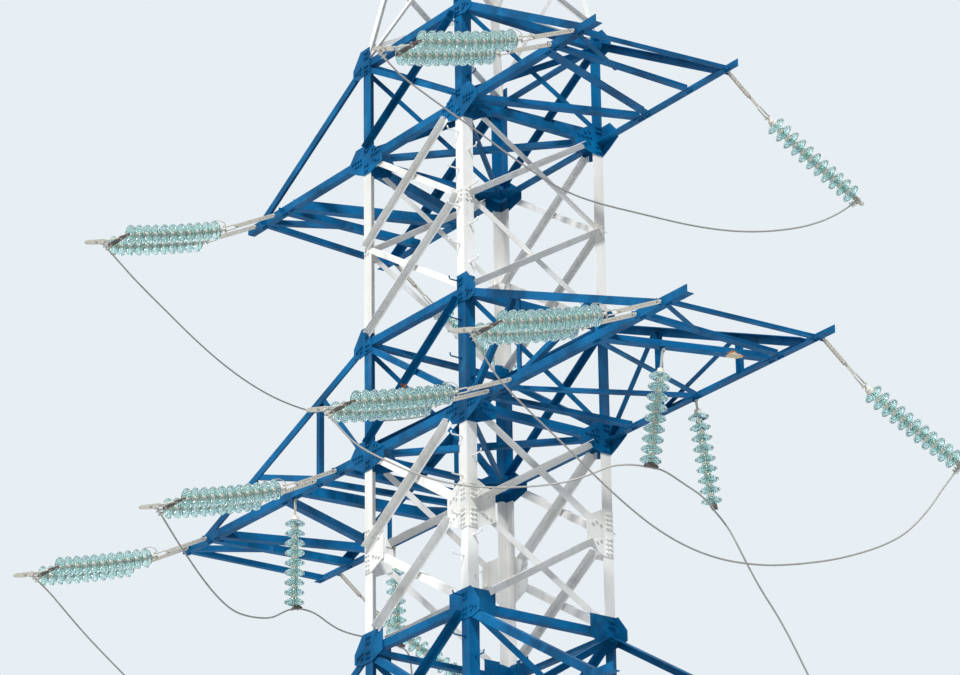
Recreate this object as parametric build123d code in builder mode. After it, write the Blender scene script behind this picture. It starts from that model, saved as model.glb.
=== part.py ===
from build123d import *
from math import cos, pi, radians, sin, tan
import os

# A square lattice pylon for two circuits, bolted from rolled steel angles: a tapered foot, a
# straight shaft with three levels of crossarms, and a peak for the earth wire. X runs along the
# crossarms, Y along the line, and Z = 0 is the underside of the base plates.

# Heights above the ground
LOWER_ARM = 15500
ARM_SPACING = 4000
MIDDLE_ARM = LOWER_ARM + ARM_SPACING
UPPER_ARM = MIDDLE_ARM + ARM_SPACING
ARM_DEPTH = 1500
UPPER_ARM_DEPTH = 1350
SHAFT_TOP = UPPER_ARM + UPPER_ARM_DEPTH
PEAK_TOP = 29700

# Widths over the outer edges of the legs
SHAFT_WIDTH = 2160
BASE_WIDTH = 5200
PEAK_WIDTH = 340

# Rolled angles: width of a flange and its thickness
LOWER_LEG = (180, 14)
UPPER_LEG = (150, 12)
PEAK_LEG = (80, 8)
CHORD = (100, 8)
HORIZONTAL = (100, 8)
HEAVY_BRACE = (125, 8)
WIDE_BRACE = (100, 8)
LOWER_BRACE = (90, 7)
BRACE = (75, 6)
ARM_BRACE = (70, 6)
PEAK_BRACE = (56, 5)

# Plates
GUSSET = 10
PLAN_PLATE = 8
CAP_PLATE = 12
BASE_PLATE = (460, 40)
ANCHOR_HOLE = 24
ANCHOR_SPACING = 320
LUG = (70, 14)
PLATE_DROP = 220
CLEARANCE = 5
PORTAL_PLATE = (620, 330)

# Outlines of the joint plates: out from the outer edge of the leg, and up from the joint
ARM_PLATE = [
    (160, 190), (320, 20), (320, -60), (135, -160), (0, -PLATE_DROP), (-150, -PLATE_DROP),
    (-420, -150), (-420, -20), (-150, 190),
]
ARM_SIDE_PLATE = [
    (-CLEARANCE, 160), (-CLEARANCE, -PLATE_DROP), (-150, -PLATE_DROP), (-430, -120), (-430, 30), (-200, 160),
]
TOP_PLATE = [(50, 190), (-150, 190), (-150, -150), (90, -190), (220, -150), (220, -20)]
TOP_SIDE_PLATE = [(-CLEARANCE, 170), (-150, 170), (-150, -170), (-CLEARANCE, -170)]
WIDE_TOP_PLATE = [
    (50, 190), (-380, 190), (-380, -100), (-150, -190), (90, -190), (220, -150), (220, -20),
]
WIDE_TOP_SIDE_PLATE = [
    (-CLEARANCE, 190), (-380, 190), (-380, -100), (-150, -190), (-CLEARANCE, -190),
]
SPLICE_PLATE = [
    (-CLEARANCE, 300), (-150, 300), (-400, 170), (-400, -190), (-150, -300), (-CLEARANCE, -300),
]
# Corner plate of the plan bracing: inwards from both outer faces of the leg
PLAN_CORNER = [(30, 30), (420, 30), (420, 100), (100, 420), (30, 420)]

# Nodes of the bracing
FOOT_LEVELS = (5000, 8600, 11400, 13600)
FOOT_TOP_DROP = 150
PORTAL_BEAM_DROP = 150
PORTAL_FOOT = 300
PORTAL_HEAD = (70, 260)
HORIZONTAL_END = 118
TOP_BEAM_DROP = 20
SPLICE_RISE = 2750
MIDDLE_RISE = 2750
FOOT_NODE_RISE = 120
TOP_NODE_DROP = 95
TOP_NODE_RISE = 45
# Where a bar ends, in from the outer edge of the leg
ON_LEG = 80
ON_TOP_PLATE = 110
ON_WIDE_PLATE = 290
ON_ARM_PLATE = 310
ON_SPLICE_PLATE = 350
PLAN_BRACE_END = 135

# Peak
PEAK_RISES = (0, 1200, 2350, 3350, 4150, 4730)
PEAK_NODE_RISE = 60
PEAK_OUTER_RISE = 240

# Crossarms: reach, where the top chord meets the bottom chord, and how far it starts below its joint
ARM_REACH = {"lower": 3800, "middle": 5330, "upper": 3800}
TOP_CHORD_END = {"lower": 3450, "middle": 4800, "upper": 3500}
TOP_CHORD_DROP = {"lower": 110, "middle": 55, "upper": 30}
STRUTS = (2100, 3620)

# Bars in the bottom of each crossarm: out along the front chord, out along the back chord, size
SHORT_ARM_BARS = [
    (1200, 1940, HEAVY_BRACE), (2800, 2080, HEAVY_BRACE), (2960, 2910, CHORD), (3450, 3640, ARM_BRACE),
]
BOTTOM_BARS = {
    ("lower", 1): SHORT_ARM_BARS,
    ("upper", 1): SHORT_ARM_BARS,
    ("middle", 1): [
        (1440, 1620, CHORD), (1770, 2830, ARM_BRACE), (3600, 2870, ARM_BRACE),
        (3620, 4240, HEAVY_BRACE), (4470, 4400, CHORD), (4950, 5050, ARM_BRACE),
    ],
    ("middle", -1): [
        (1650, 1600, CHORD), (2140, 1860, ARM_BRACE), (2600, 2450, HEAVY_BRACE), (2950, 3850, CHORD),
        (4560, 3900, CHORD), (4720, 4560, CHORD), (5260, 5230, ARM_BRACE),
    ],
}
# A short bar from the front chord to a cross bar: out along the chord, then out and across at its end
TIE_BARS = {
    ("lower", 1): (3400, 2880, -60),
    ("upper", 1): (3400, 2880, -60),
    ("middle", 1): (4900, 4400, -130),
    ("middle", -1): (5180, 4600, -130),
}

# Insulator strings and their fittings
DISC_PITCH = 130
DISC_RADIUS = 127.5
TENSION_DISCS = 11
STRAND_SPACING = 450
YOKE_SPACING = 426
FRONT_LINK = 890
BACK_LINK = 800
LINK = (56, 14)
PIN = (24, 60)
LUG_REACH = 40
LUG_DROP = 20
YOKE = (100, 16)
YOKE_OVERHANG = 30
YOKE_ROD = 11
YOKE_ROD_SPREAD = 120
YOKE_ROD_REACH = 143
CLAMP_LENGTH = 300
CLAMP_RADIUS = 26
BACK_CLAMP_LENGTH = 200
BACK_TAIL_START = 110
TAIL_LENGTH = 180
TAIL_RADIUS = 18
FRONT_DISC_SLOPE = 16
BACK_LINK_SLOPE = 38
BACK_DISC_SLOPES = {"lower": 28, "middle": 25, "upper": 28}
HANGER_DROP = 90
HANGER_LAP = 30
HANGER_BOLT = 12
SADDLE = (90, 44, 50)
SADDLE_GAP = 0.3
WIRE = 22
SMOOTHNESS = 0.45

# Each pair of strings at the front: which crossarm, how far out its middle is, how far its links
# slope down, and where along its clamp the tail starts
FRONT_STRINGS = {
    "upper_right": ("upper", 3180, 23, 260),
    "upper_left": ("upper", -3350, 27, 60),
    "outer_right": ("middle", 4660, 23, 60),
    "outer_left": ("middle", -4930, 27, 60),
    "inner_right": ("middle", 1800, 23, 60),
    "inner_left": ("middle", -1900, 27, 60),
}
BACK_STRINGS = {"lower": (3560, -3560), "middle": (5070, -4910), "upper": (3560, -3560)}

# Routes of the jumpers: out along the crossarm, along the line, and up from the crossarm
UPPER_RIGHT_ROUTE = [
    (3183, -3520, -1116), (3195, -3340, -1215), (3205, -3110, -1320), (3222, -2840, -1440),
    (3240, -2570, -1555), (3258, -2290, -1680), (3276, -2010, -1815), (3294, -1730, -1935),
    (3312, -1440, -2050), (3330, -1130, -2125), (3345, -820, -2152), (3360, -500, -2156),
    (3377, -180, -2150), (3393, 140, -2148), (3410, 460, -2142), (3425, 775, -2122),
    (3441, 1085, -2088), (3458, 1390, -2036), (3476, 1690, -1965), (3494, 1980, -1877),
    (3512, 2260, -1775), (3528, 2520, -1650), (3541, 2710, -1535), (3552, 2860, -1430),
]
UPPER_LEFT_ROUTE = [
    (-3356, -3290, -1125), (-3363, -3080, -1285), (-3372, -2850, -1440), (-3381, -2600, -1600),
    (-3391, -2350, -1762), (-3401, -2080, -1930), (-3412, -1800, -2085), (-3422, -1510, -2222),
    (-3432, -1210, -2335), (-3441, -900, -2420), (-3449, -590, -2468), (-3457, -270, -2484),
    (-3465, 50, -2482), (-3475, 360, -2450), (-3484, 670, -2400), (-3493, 970, -2325),
    (-3502, 1270, -2235), (-3511, 1560, -2130), (-3520, 1840, -2010), (-3530, 2110, -1880),
    (-3539, 2370, -1745), (-3547, 2590, -1620), (-3553, 2760, -1505), (-3558, 2890, -1410),
]
OUTER_RIGHT_ROUTE = [
    (4668, -3390, -1150), (4678, -3230, -1345), (4690, -3020, -1515), (4703, -2790, -1680),
    (4718, -2550, -1845), (4735, -2310, -2015), (4752, -2070, -2195), (4770, -1820, -2370),
    (4788, -1560, -2535), (4806, -1280, -2690), (4824, -980, -2810), (4842, -670, -2890),
    (4860, -350, -2928), (4878, -30, -2922), (4896, 285, -2890), (4915, 590, -2830), (4933, 890, -2755),
    (4951, 1190, -2670), (4969, 1480, -2565), (4987, 1760, -2450), (5005, 2030, -2315),
    (5022, 2270, -2160), (5040, 2480, -1960), (5054, 2670, -1745), (5066, 2850, -1500),
]
OUTER_LEFT_ROUTE = [
    (-4933, -3295, -1085), (-4935, -3110, -1245), (-4936, -2900, -1430), (-4937, -2680, -1610),
    (-4938, -2440, -1790), (-4938, -2200, -1965), (-4937, -1950, -2150), (-4936, -1690, -2325),
    (-4935, -1420, -2490), (-4934, -1130, -2640), (-4933, -830, -2765), (-4932, -520, -2850),
    (-4930, -200, -2900), (-4928, 120, -2898), (-4926, 430, -2860), (-4924, 730, -2795),
    (-4922, 1030, -2715), (-4920, 1320, -2615), (-4918, 1600, -2505), (-4916, 1870, -2380),
    (-4914, 2120, -2225), (-4913, 2340, -2050), (-4912, 2540, -1850), (-4911, 2710, -1660),
    (-4910, 2880, -1465),
]
# These two pass below two support strings and run down to the lower crossarm
INNER_RIGHT_ROUTE = [
    (1915, -3415, -1118), (1980, -3310, -1255), (2070, -3165, -1368), (2190, -2975, -1485),
    (2330, -2755, -1612), (2485, -2510, -1710), (2650, -2255, -1770), (2820, -1990, -1793),
    (2990, -1725, -1785), (3150, -1475, -1760), (3300, -1240, -1710), (3440, -1030, -1622),
    (3550, -865, -1530), (3640, -730, -1508), (3705, -630, -1510), (3750, -545, -1520),
    (3812, -365, -1537), (3818, -268, -1552), (3795, -155, -1570), (3735, -15, -1577),
    (3640, 145, -1564), (3505, 345, -1533), (3345, 570, -1493), (3185, 790, -1462), (3060, 950, -1444),
    (2965, 1060, -1426), (2892, 1143, -1408), (2766, 1287, -1396), (2733, 1380, -1432),
    (2745, 1450, -1508), (2778, 1515, -1615), (2825, 1585, -1800), (2885, 1670, -2040),
    (2965, 1795, -2350), (3045, 1950, -2640), (3110, 2080, -2925), (3170, 2200, -3225),
]
INNER_LEFT_ROUTE = [
    (-2000, -3305, -1125), (-2060, -3130, -1270), (-2140, -2905, -1440), (-2225, -2660, -1610),
    (-2310, -2410, -1750), (-2395, -2140, -1845), (-2480, -1860, -1838), (-2560, -1600, -1790),
    (-2620, -1420, -1730), (-2662, -1290, -1650), (-2690, -1195, -1590), (-2710, -1108, -1543),
    (-2756, -930, -1489), (-2780, -836, -1480), (-2815, -715, -1473), (-2875, -560, -1485),
    (-2960, -350, -1530), (-3065, -90, -1549), (-3175, 185, -1520), (-3285, 450, -1478),
    (-3380, 670, -1448), (-3445, 820, -1428), (-3485, 915, -1416), (-3515, 1005, -1410),
    (-3562, 1188, -1412), (-3585, 1280, -1438), (-3618, 1345, -1530), (-3645, 1385, -1670),
    (-3666, 1415, -1865), (-3680, 1445, -2125), (-3682, 1505, -2415), (-3675, 1595, -2700),
    (-3662, 1712, -2980), (-3645, 1855, -3250), (-3626, 2012, -3510),
]
# Their lower ends, measured up from the lower crossarm
RIGHT_LOWER_END = [
    (3225, 2325, 480), (3280, 2440, 200), (3340, 2575, -50), (3400, 2715, -280), (3455, 2845, -490),
    (3500, 2950, -670), (3530, 3025, -820), (3545, 3070, -940),
]
LEFT_LOWER_END = [
    (-3608, 2180, 240), (-3594, 2350, 10), (-3584, 2500, -190), (-3576, 2640, -370),
    (-3570, 2765, -530), (-3566, 2875, -670), (-3563, 2965, -790), (-3561, 3065, -935),
]

# Support strings: which point of the route the clamp follows, the string's top, and its discs
SUPPORTS = {
    "inner_right": [(15, (3850, -280, -42), 9), (26, (2790, 1040, -42), 9)],
    "inner_left": [(11, (-2735, -1030, -42), 9), (23, (-3550, 1040, -42), 8)],
}

shaft_half = SHAFT_WIDTH / 2
base_half = BASE_WIDTH / 2
kink = LOWER_ARM - PLATE_DROP - CLEARANCE
taper = (base_half - shaft_half) / kink
root = shaft_half + GUSSET + CLEARANCE
arm_levels = {"lower": LOWER_ARM, "middle": MIDDLE_ARM, "upper": UPPER_ARM}
arm_tops = {"lower": LOWER_ARM + ARM_DEPTH, "middle": MIDDLE_ARM + ARM_DEPTH, "upper": SHAFT_TOP}
wire_radius = WIRE / 2

# Each face has its outward direction and the direction that runs to the right, seen from outside
faces = {
    "front": ((0, -1), (1, 0)),
    "right": ((1, 0), (0, 1)),
    "back": ((0, 1), (-1, 0)),
    "left": ((-1, 0), (0, -1)),
}
turns = {"front": 0, "right": 90, "back": 180, "left": 270}
corners = {
    "front_left": (-1, -1),
    "front_right": (1, -1),
    "back_left": (-1, 1),
    "back_right": (1, 1),
}


def half_width(height):
    """Half the width of the body over its legs at a height."""
    return shaft_half + max(0, kink - height) * taper


def peak_half(height):
    """Half the width of the peak at a height above the shaft."""
    share = (height - SHAFT_TOP) / (PEAK_TOP - SHAFT_TOP)
    return shaft_half + (PEAK_WIDTH / 2 - shaft_half) * share


def angle_bar(start, end, flat, stand, size):
    """A rolled angle with its heel from start to end, one flange along flat, the other along stand."""
    width, thick = size
    start, end = Vector(start), Vector(end)
    along = (end - start).normalized()
    flat, stand = Vector(flat), Vector(stand)
    flat = (flat - along * flat.dot(along)).normalized()
    stand = (stand - along * stand.dot(along)).normalized()
    forward = flat.cross(stand).dot(along) > 0
    plane = Plane(start if forward else end, x_dir=flat, z_dir=along if forward else -along)
    lean, rise = stand.dot(plane.x_dir), stand.dot(plane.y_dir)
    outline = [(0, 0), (width, 0), (width, thick), (thick, thick), (thick, width), (0, width)]
    with BuildSketch(plane, mode=Mode.PRIVATE) as section:
        with BuildLine():
            Polyline([(a + b * lean, b * rise) for a, b in outline], close=True)
        make_face()
    return extrude(section.sketch, amount=(end - start).length, mode=Mode.PRIVATE)


def flat_plate(plane, outline, thick):
    """A plate of an outline on a plane, as thick as asked along the plane's direction."""
    with BuildSketch(plane, mode=Mode.PRIVATE) as section:
        with BuildLine():
            Polyline(outline, close=True)
        make_face()
    return extrude(section.sketch, amount=thick, mode=Mode.PRIVATE)


def block(plane, width, depth, length):
    """A bar of rectangular section that starts on a plane."""
    with BuildSketch(plane, mode=Mode.PRIVATE) as section:
        Rectangle(width, depth)
    return extrude(section.sketch, amount=length, mode=Mode.PRIVATE)


def rod(start, direction, length, radius):
    """A round rod."""
    with BuildSketch(Plane(start, z_dir=direction), mode=Mode.PRIVATE) as section:
        Circle(radius)
    return extrude(section.sketch, amount=length, mode=Mode.PRIVATE)


def on_face(face, spot, depth=0, half=half_width):
    """A point on a face, across from its middle line and at a height, this far behind its surface."""
    (nx, ny), (tx, ty) = faces[face]
    across, height = spot
    lean = half(height) - half(height + 1)
    out = half(height) - depth * (1 + lean ** 2) ** 0.5
    return Vector(nx * out + tx * across, ny * out + ty * across, height)


def face_normal(face, height, half=half_width):
    """The outward direction of a face just above a height."""
    (nx, ny), _ = faces[face]
    return Vector(nx, ny, half(height) - half(height + 1)).normalized()


def face_plane(face, spot, depth=0, half=half_width):
    """A plane on a face that looks outwards, with its X level and to the right."""
    _, (tx, ty) = faces[face]
    return Plane(on_face(face, spot, depth, half), x_dir=(tx, ty, 0), z_dir=face_normal(face, spot[1], half))


def face_bar(foot, head, depth, outward, size, half=half_width, heel_up=True):
    """A bar that lies flat on the front face between two spots, its other flange out or in."""
    start = on_face("front", foot, depth, half)
    end = on_face("front", head, depth, half)
    normal = face_normal("front", min(foot[1], head[1]), half)
    upward = normal.cross(end - start).normalized()
    if (upward.Z < 0) == heel_up:
        upward = -upward
    shift = upward * (size[0] / 2)
    return angle_bar(start + shift, end + shift, -upward, normal if outward else -normal, size)


def packer(spot, size, depth, thick, half=half_width):
    """A square packing plate on the front face, from a depth outwards."""
    edge = size / 2
    outline = [(-edge, -edge), (edge, -edge), (edge, edge), (-edge, edge)]
    return flat_plate(face_plane("front", spot, depth, half), outline, thick)


def trimmed(foot, head, foot_end, head_end, half):
    """The two ends of a diagonal, cut back to their distances from the outer edges of the legs."""
    rise = (head[1] - foot[1]) / (head[0] - foot[0])
    side = 1 if foot[0] > 0 else -1
    low = side * (half(foot[1]) - foot_end)
    high = -side * (half(head[1]) - head_end)
    return (low, foot[1] + (low - foot[0]) * rise), (high, foot[1] + (high - foot[0]) * rise)


def cross_panel(levels, leg, sizes, feet, heads, plain=(), offset=GUSSET, half=half_width, hand=1):
    """Crossed diagonals on the front face, one outside the leg flanges and one inside them."""
    outer_low, inner_low, high = levels
    inset = leg[0] / 2
    outer_foot, outer_head = trimmed(
        (-hand * (half(outer_low) - inset), outer_low), (hand * (half(high) - inset), high),
        feet[0], heads[0], half,
    )
    inner_foot, inner_head = trimmed(
        (hand * (half(inner_low) - inset), inner_low), (-hand * (half(high) - inset), high),
        feet[1], heads[1], half,
    )
    size = sizes[0][0]
    share = half(inner_low) / (half(inner_low) + half(high))
    middle = (0, inner_low + (high - inner_low) * share)
    bars = [
        face_bar(outer_foot, outer_head, -offset, True, sizes[0], half),
        face_bar(inner_foot, inner_head, leg[1], False, sizes[1], half),
        packer(middle, size, leg[1], leg[1] + offset, half),
    ]
    if "foot" in plain:
        bars.append(packer(outer_foot, size, 0, offset, half))
    if "head" in plain:
        bars.append(packer(outer_head, size, 0, offset, half))
    if feet[1] > leg[0]:
        bars.append(packer(inner_foot, size, leg[1], leg[1], half))
    if heads[1] > leg[0]:
        bars.append(packer(inner_head, size, leg[1], leg[1], half))
    return bars


def level_beam(height, depth, end):
    """A level angle across the front face, heel down, its level flange turned inwards."""
    across = half_width(height) - end
    return face_bar((-across, height), (across, height), depth, False, HORIZONTAL, heel_up=False)


def write(part, name):
    """Labels a piece and writes it."""
    part.label = name
    os.makedirs("parts", exist_ok=True)
    export_step(part, "parts/" + name + ".step")


def turned(part, face):
    """A piece of the front face, turned to another face."""
    with BuildPart() as copy:
        with Locations(Rotation(0, 0, turns[face])):
            add(part)
    return copy.part


def mirrored(part, side_x, side_y):
    """A piece of the right back corner, mirrored to another corner."""
    with BuildPart() as copy:
        add(part)
        if side_x < 0:
            mirror(about=Plane.YZ, mode=Mode.REPLACE)
        if side_y < 0:
            mirror(about=Plane.XZ, mode=Mode.REPLACE)
    return copy.part


# Legs of the tapered foot and of the shaft, and the plates that they stand on
with BuildPart() as lower_leg:
    foot, head = (base_half, base_half, 0), (shaft_half, shaft_half, kink)
    add(angle_bar(foot, head, (-1, 0, 0), (0, -1, 0), LOWER_LEG))
    split(bisect_by=Plane.XY.offset(BASE_PLATE[1]), keep=Keep.TOP)
    split(bisect_by=Plane.XY.offset(kink), keep=Keep.BOTTOM)
with BuildPart() as upper_leg:
    foot, head = (shaft_half, shaft_half, kink), (shaft_half, shaft_half, SHAFT_TOP)
    add(angle_bar(foot, head, (-1, 0, 0), (0, -1, 0), UPPER_LEG))
with BuildPart() as base_plates:
    with BuildSketch():
        for side_x, side_y in corners.values():
            middle = base_half - LOWER_LEG[0] / 2
            with Locations((side_x * middle, side_y * middle)):
                Rectangle(BASE_PLATE[0], BASE_PLATE[0])
                with GridLocations(ANCHOR_SPACING, ANCHOR_SPACING, 2, 2):
                    Circle(ANCHOR_HOLE, mode=Mode.SUBTRACT)
    extrude(amount=BASE_PLATE[1])
write(base_plates.part, "base_plates")
for corner, (side_x, side_y) in corners.items():
    write(mirrored(lower_leg.part, side_x, side_y), "lower_leg_" + corner)
    write(mirrored(upper_leg.part, side_x, side_y), "upper_leg_" + corner)

# Bracing of the tapered foot: a portal at the ground, and crossed panels above it
with BuildPart() as foot_bracing:
    beam = FOOT_LEVELS[0] - PORTAL_BEAM_DROP
    wide, tall = PORTAL_PLATE
    top = HORIZONTAL[0] / 2
    portal_outline = [
        (-wide / 2, top), (-wide / 2, -top), (-wide / 4, top - tall), (wide / 4, top - tall),
        (wide / 2, -top), (wide / 2, top),
    ]
    bars = [
        level_beam(beam, LOWER_LEG[1], HORIZONTAL_END),
        flat_plate(face_plane("front", (0, beam), LOWER_LEG[1]), portal_outline, GUSSET),
    ]
    for side in (-1, 1):
        foot = (side * (half_width(PORTAL_FOOT) - LOWER_LEG[0] / 2), PORTAL_FOOT)
        head = (side * PORTAL_HEAD[0], FOOT_LEVELS[0] - PORTAL_HEAD[1])
        bars.append(face_bar(foot, head, LOWER_LEG[1], False, LOWER_BRACE, heel_up=False))
    levels = FOOT_LEVELS + (kink - FOOT_TOP_DROP,)
    ends = (LOWER_LEG[0] / 2, LOWER_LEG[0] / 2)
    sizes = (LOWER_BRACE, LOWER_BRACE)
    for low, high in zip(levels, levels[1:]):
        bars += cross_panel((low, low, high), LOWER_LEG, sizes, ends, ends, ("foot", "head"))
    add(bars)
for face in faces:
    write(turned(foot_bracing.part, face), "foot_bracing_" + face)

# Bracing of the shaft: crossed panels, with a level beam at the bottom and top of each crossarm
splice = LOWER_ARM + SPLICE_RISE
middle_node = MIDDLE_ARM + MIDDLE_RISE
on_leg, on_top = (ON_LEG, ON_LEG), (ON_TOP_PLATE, ON_TOP_PLATE)
on_wide, on_arm = (ON_WIDE_PLATE, ON_WIDE_PLATE), (ON_ARM_PLATE, ON_ARM_PLATE)
on_splice = (ON_LEG, ON_SPLICE_PLATE)
with BuildPart() as shaft_bracing:
    bars = []
    for arm, level in arm_levels.items():
        bars.append(level_beam(level, 0, UPPER_LEG[0] + CLEARANCE))
        bars.append(level_beam(arm_tops[arm] - TOP_BEAM_DROP, UPPER_LEG[1], HORIZONTAL_END))
        low, high = level + FOOT_NODE_RISE, arm_tops[arm] - TOP_NODE_DROP
        size = LOWER_BRACE if arm == "lower" else BRACE
        bars += cross_panel((low, low, high), UPPER_LEG, (size, size), on_leg, on_top)
    low = arm_tops["lower"] + TOP_NODE_RISE
    sizes = (LOWER_BRACE, LOWER_BRACE)
    bars += cross_panel((low, low, splice), UPPER_LEG, sizes, on_wide, on_arm)
    sizes = (LOWER_BRACE, WIDE_BRACE)
    bars += cross_panel((splice, splice, MIDDLE_ARM), UPPER_LEG, sizes, on_splice, on_arm)
    low = arm_tops["middle"] + TOP_NODE_RISE
    sizes = (BRACE, BRACE)
    bars += cross_panel((low, low, middle_node), UPPER_LEG, sizes, on_top, on_leg, ("head",))
    low = middle_node
    bars += cross_panel((low, low, UPPER_ARM), UPPER_LEG, sizes, on_leg, on_arm, ("foot",))
    add(bars)
for face in faces:
    write(turned(shaft_bracing.part, face), "shaft_bracing_" + face)


def joint_plates(outline, height, face):
    """The plates of one outline on both legs of a face."""
    plates = []
    for side in (-1, 1):
        points = [(side * across, rise) for across, rise in outline]
        plane = face_plane(face, (side * shaft_half, height))
        plates.append(flat_plate(plane, points, GUSSET))
    return plates


# Plates at the joints of the crossarms, and where the legs are spliced
for arm, level in arm_levels.items():
    top = WIDE_TOP_PLATE if arm == "lower" else TOP_PLATE
    top_side = WIDE_TOP_SIDE_PLATE if arm == "lower" else TOP_SIDE_PLATE
    with BuildPart() as plates:
        for face in ("front", "back"):
            add(joint_plates(ARM_PLATE, level, face) + joint_plates(top, arm_tops[arm], face))
        for face in ("left", "right"):
            add(joint_plates(ARM_SIDE_PLATE, level, face) + joint_plates(top_side, arm_tops[arm], face))
    write(plates.part, arm + "_arm_joint_plates")
with BuildPart() as splice_plates:
    for face in faces:
        add(joint_plates(SPLICE_PLATE, splice, face))
write(splice_plates.part, "leg_splice_plates")

# Plan bracing in the bottom of each crossarm level: corner plates and two crossed diagonals
with BuildPart() as plan_bracing:
    inner = shaft_half - PLAN_BRACE_END
    for level in arm_levels.values():
        seat = level - HORIZONTAL[0] / 2 + HORIZONTAL[1]
        above = seat + PLAN_PLATE
        pieces = [block(Plane.XY.offset(seat), BRACE[0], BRACE[0], PLAN_PLATE)]
        for side_x, side_y in corners.values():
            points = [(side_x * (shaft_half - u), side_y * (shaft_half - v)) for u, v in PLAN_CORNER]
            pieces.append(flat_plate(Plane.XY.offset(seat), points, PLAN_PLATE))
        shift = Vector(1, -1, 0).normalized() * (BRACE[0] / 2)
        start, end = Vector(-inner, -inner, above), Vector(inner, inner, above)
        pieces.append(angle_bar(start + shift, end + shift, -shift, (0, 0, 1), BRACE))
        shift = Vector(1, 1, 0).normalized() * (BRACE[0] / 2)
        start, end = Vector(inner, -inner, seat), Vector(-inner, inner, seat)
        pieces.append(angle_bar(start + shift, end + shift, -shift, (0, 0, -1), BRACE))
        add(pieces)
write(plan_bracing.part, "plan_bracing")


def lug(spot, outward):
    """A string's lug on a chord: a plate across the crossarm's length."""
    x, y, height = spot
    reach = LUG_REACH + LUG[0] / 2
    plane = Plane((x, y + outward * reach / 2, height), x_dir=(0, 1, 0), z_dir=(1, 0, 0))
    return block(plane, reach, LUG[0], LUG[1])


def hanger(spot, level):
    """A lug that hangs from the bottom of a crossarm and carries a support string."""
    x, y, top = spot
    plane = Plane((x, y, level + top), x_dir=(1, 0, 0), z_dir=(0, 0, -1))
    return block(plane, LUG[1], LUG[0], HANGER_DROP + top)


def side_bracing(face, line, slope):
    """Struts and diagonals between the chords of the middle crossarm, front or back."""
    y = face * (shaft_half - CHORD[1])
    inward = (0, -face, 0)
    pieces = []
    foot_x = root + CHORD[0] / 2
    for x in STRUTS:
        top = (line + slope * ((x - line.X) / slope.X)).Z
        pieces.append(angle_bar((x, y, MIDDLE_ARM), (x, y, top), (1, 0, 0), inward, ARM_BRACE))
        foot = (foot_x, y, MIDDLE_ARM)
        head = (x - ARM_BRACE[0] / 2, y, top)
        pieces.append(angle_bar(foot, head, (0, 0, 1), inward, ARM_BRACE))
        foot_x = x + ARM_BRACE[0]
    return pieces


def crossarm(arm, side):
    """The pieces of a crossarm on the right. Side -1 gives the left one as its mirror image."""
    level = arm_levels[arm]
    drop = CHORD[0] / 2
    line = Vector(shaft_half, 0, arm_tops[arm] - TOP_CHORD_DROP[arm])
    top_end = Vector(TOP_CHORD_END[arm], 0, level)
    slope = (top_end - line).normalized()
    line += slope * ((root - shaft_half - drop * slope.Z) / slope.X)
    up = Vector(-slope.Z, 0, slope.X)
    pieces = []
    for face in (-1, 1):
        out = Vector(0, face * shaft_half, 0)
        heel, tip = Vector(root, 0, level - drop), Vector(ARM_REACH[arm], 0, level - drop)
        pieces.append(angle_bar(out + heel, out + tip, (0, 0, 1), (0, -face, 0), CHORD))
        start, end = out + line + up * drop, out + top_end + up * drop
        pieces.append(angle_bar(start, end, -up, (0, -face, 0), CHORD))
        if arm == "middle":
            pieces += side_bracing(face, line, slope)
    seat = level - drop + CHORD[1]
    edge = shaft_half - CHORD[1] - ARM_BRACE[0] / 2
    for near, far, size in BOTTOM_BARS[arm, side]:
        start, end = Vector(near, -edge, seat), Vector(far, edge, seat)
        shift = (end - start).cross(Vector(0, 0, 1)).normalized() * (size[0] / 2)
        pieces.append(angle_bar(start - shift, end - shift, shift, (0, 0, 1), size))
    near, far, across = TIE_BARS[arm, side]
    start, end = Vector(near, -edge, seat), Vector(far, across, seat)
    shift = (end - start).cross(Vector(0, 0, 1)).normalized() * (ARM_BRACE[0] / 2)
    pieces.append(angle_bar(start - shift, end - shift, shift, (0, 0, 1), ARM_BRACE))
    beside = LINK[1] / 2 if side < 0 else -LINK[1] / 2 - LUG[1]
    for place, reach, _, _ in FRONT_STRINGS.values():
        if place == arm and reach * side > 0:
            for strand_x in (-STRAND_SPACING / 2, STRAND_SPACING / 2):
                spot = (abs(reach) + strand_x + beside, -shaft_half, level - LUG_DROP)
                pieces.append(lug(spot, -1))
    reach = abs(BACK_STRINGS[arm][0 if side > 0 else 1])
    pieces.append(lug((reach + beside, shaft_half, level - LUG_DROP), 1))
    if arm == "middle":
        for _, (x, y, rise), _ in SUPPORTS["inner_right" if side > 0 else "inner_left"]:
            pieces.append(hanger((abs(x), y, rise), level))
    return pieces


for arm in arm_levels:
    with BuildPart() as right_arm:
        add(crossarm(arm, 1))
    write(right_arm.part, arm + "_crossarm_right")
    with BuildPart() as left_arm:
        add(crossarm(arm, -1 if arm == "middle" else 1))
        mirror(about=Plane.YZ, mode=Mode.REPLACE)
    write(left_arm.part, arm + "_crossarm_left")

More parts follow.
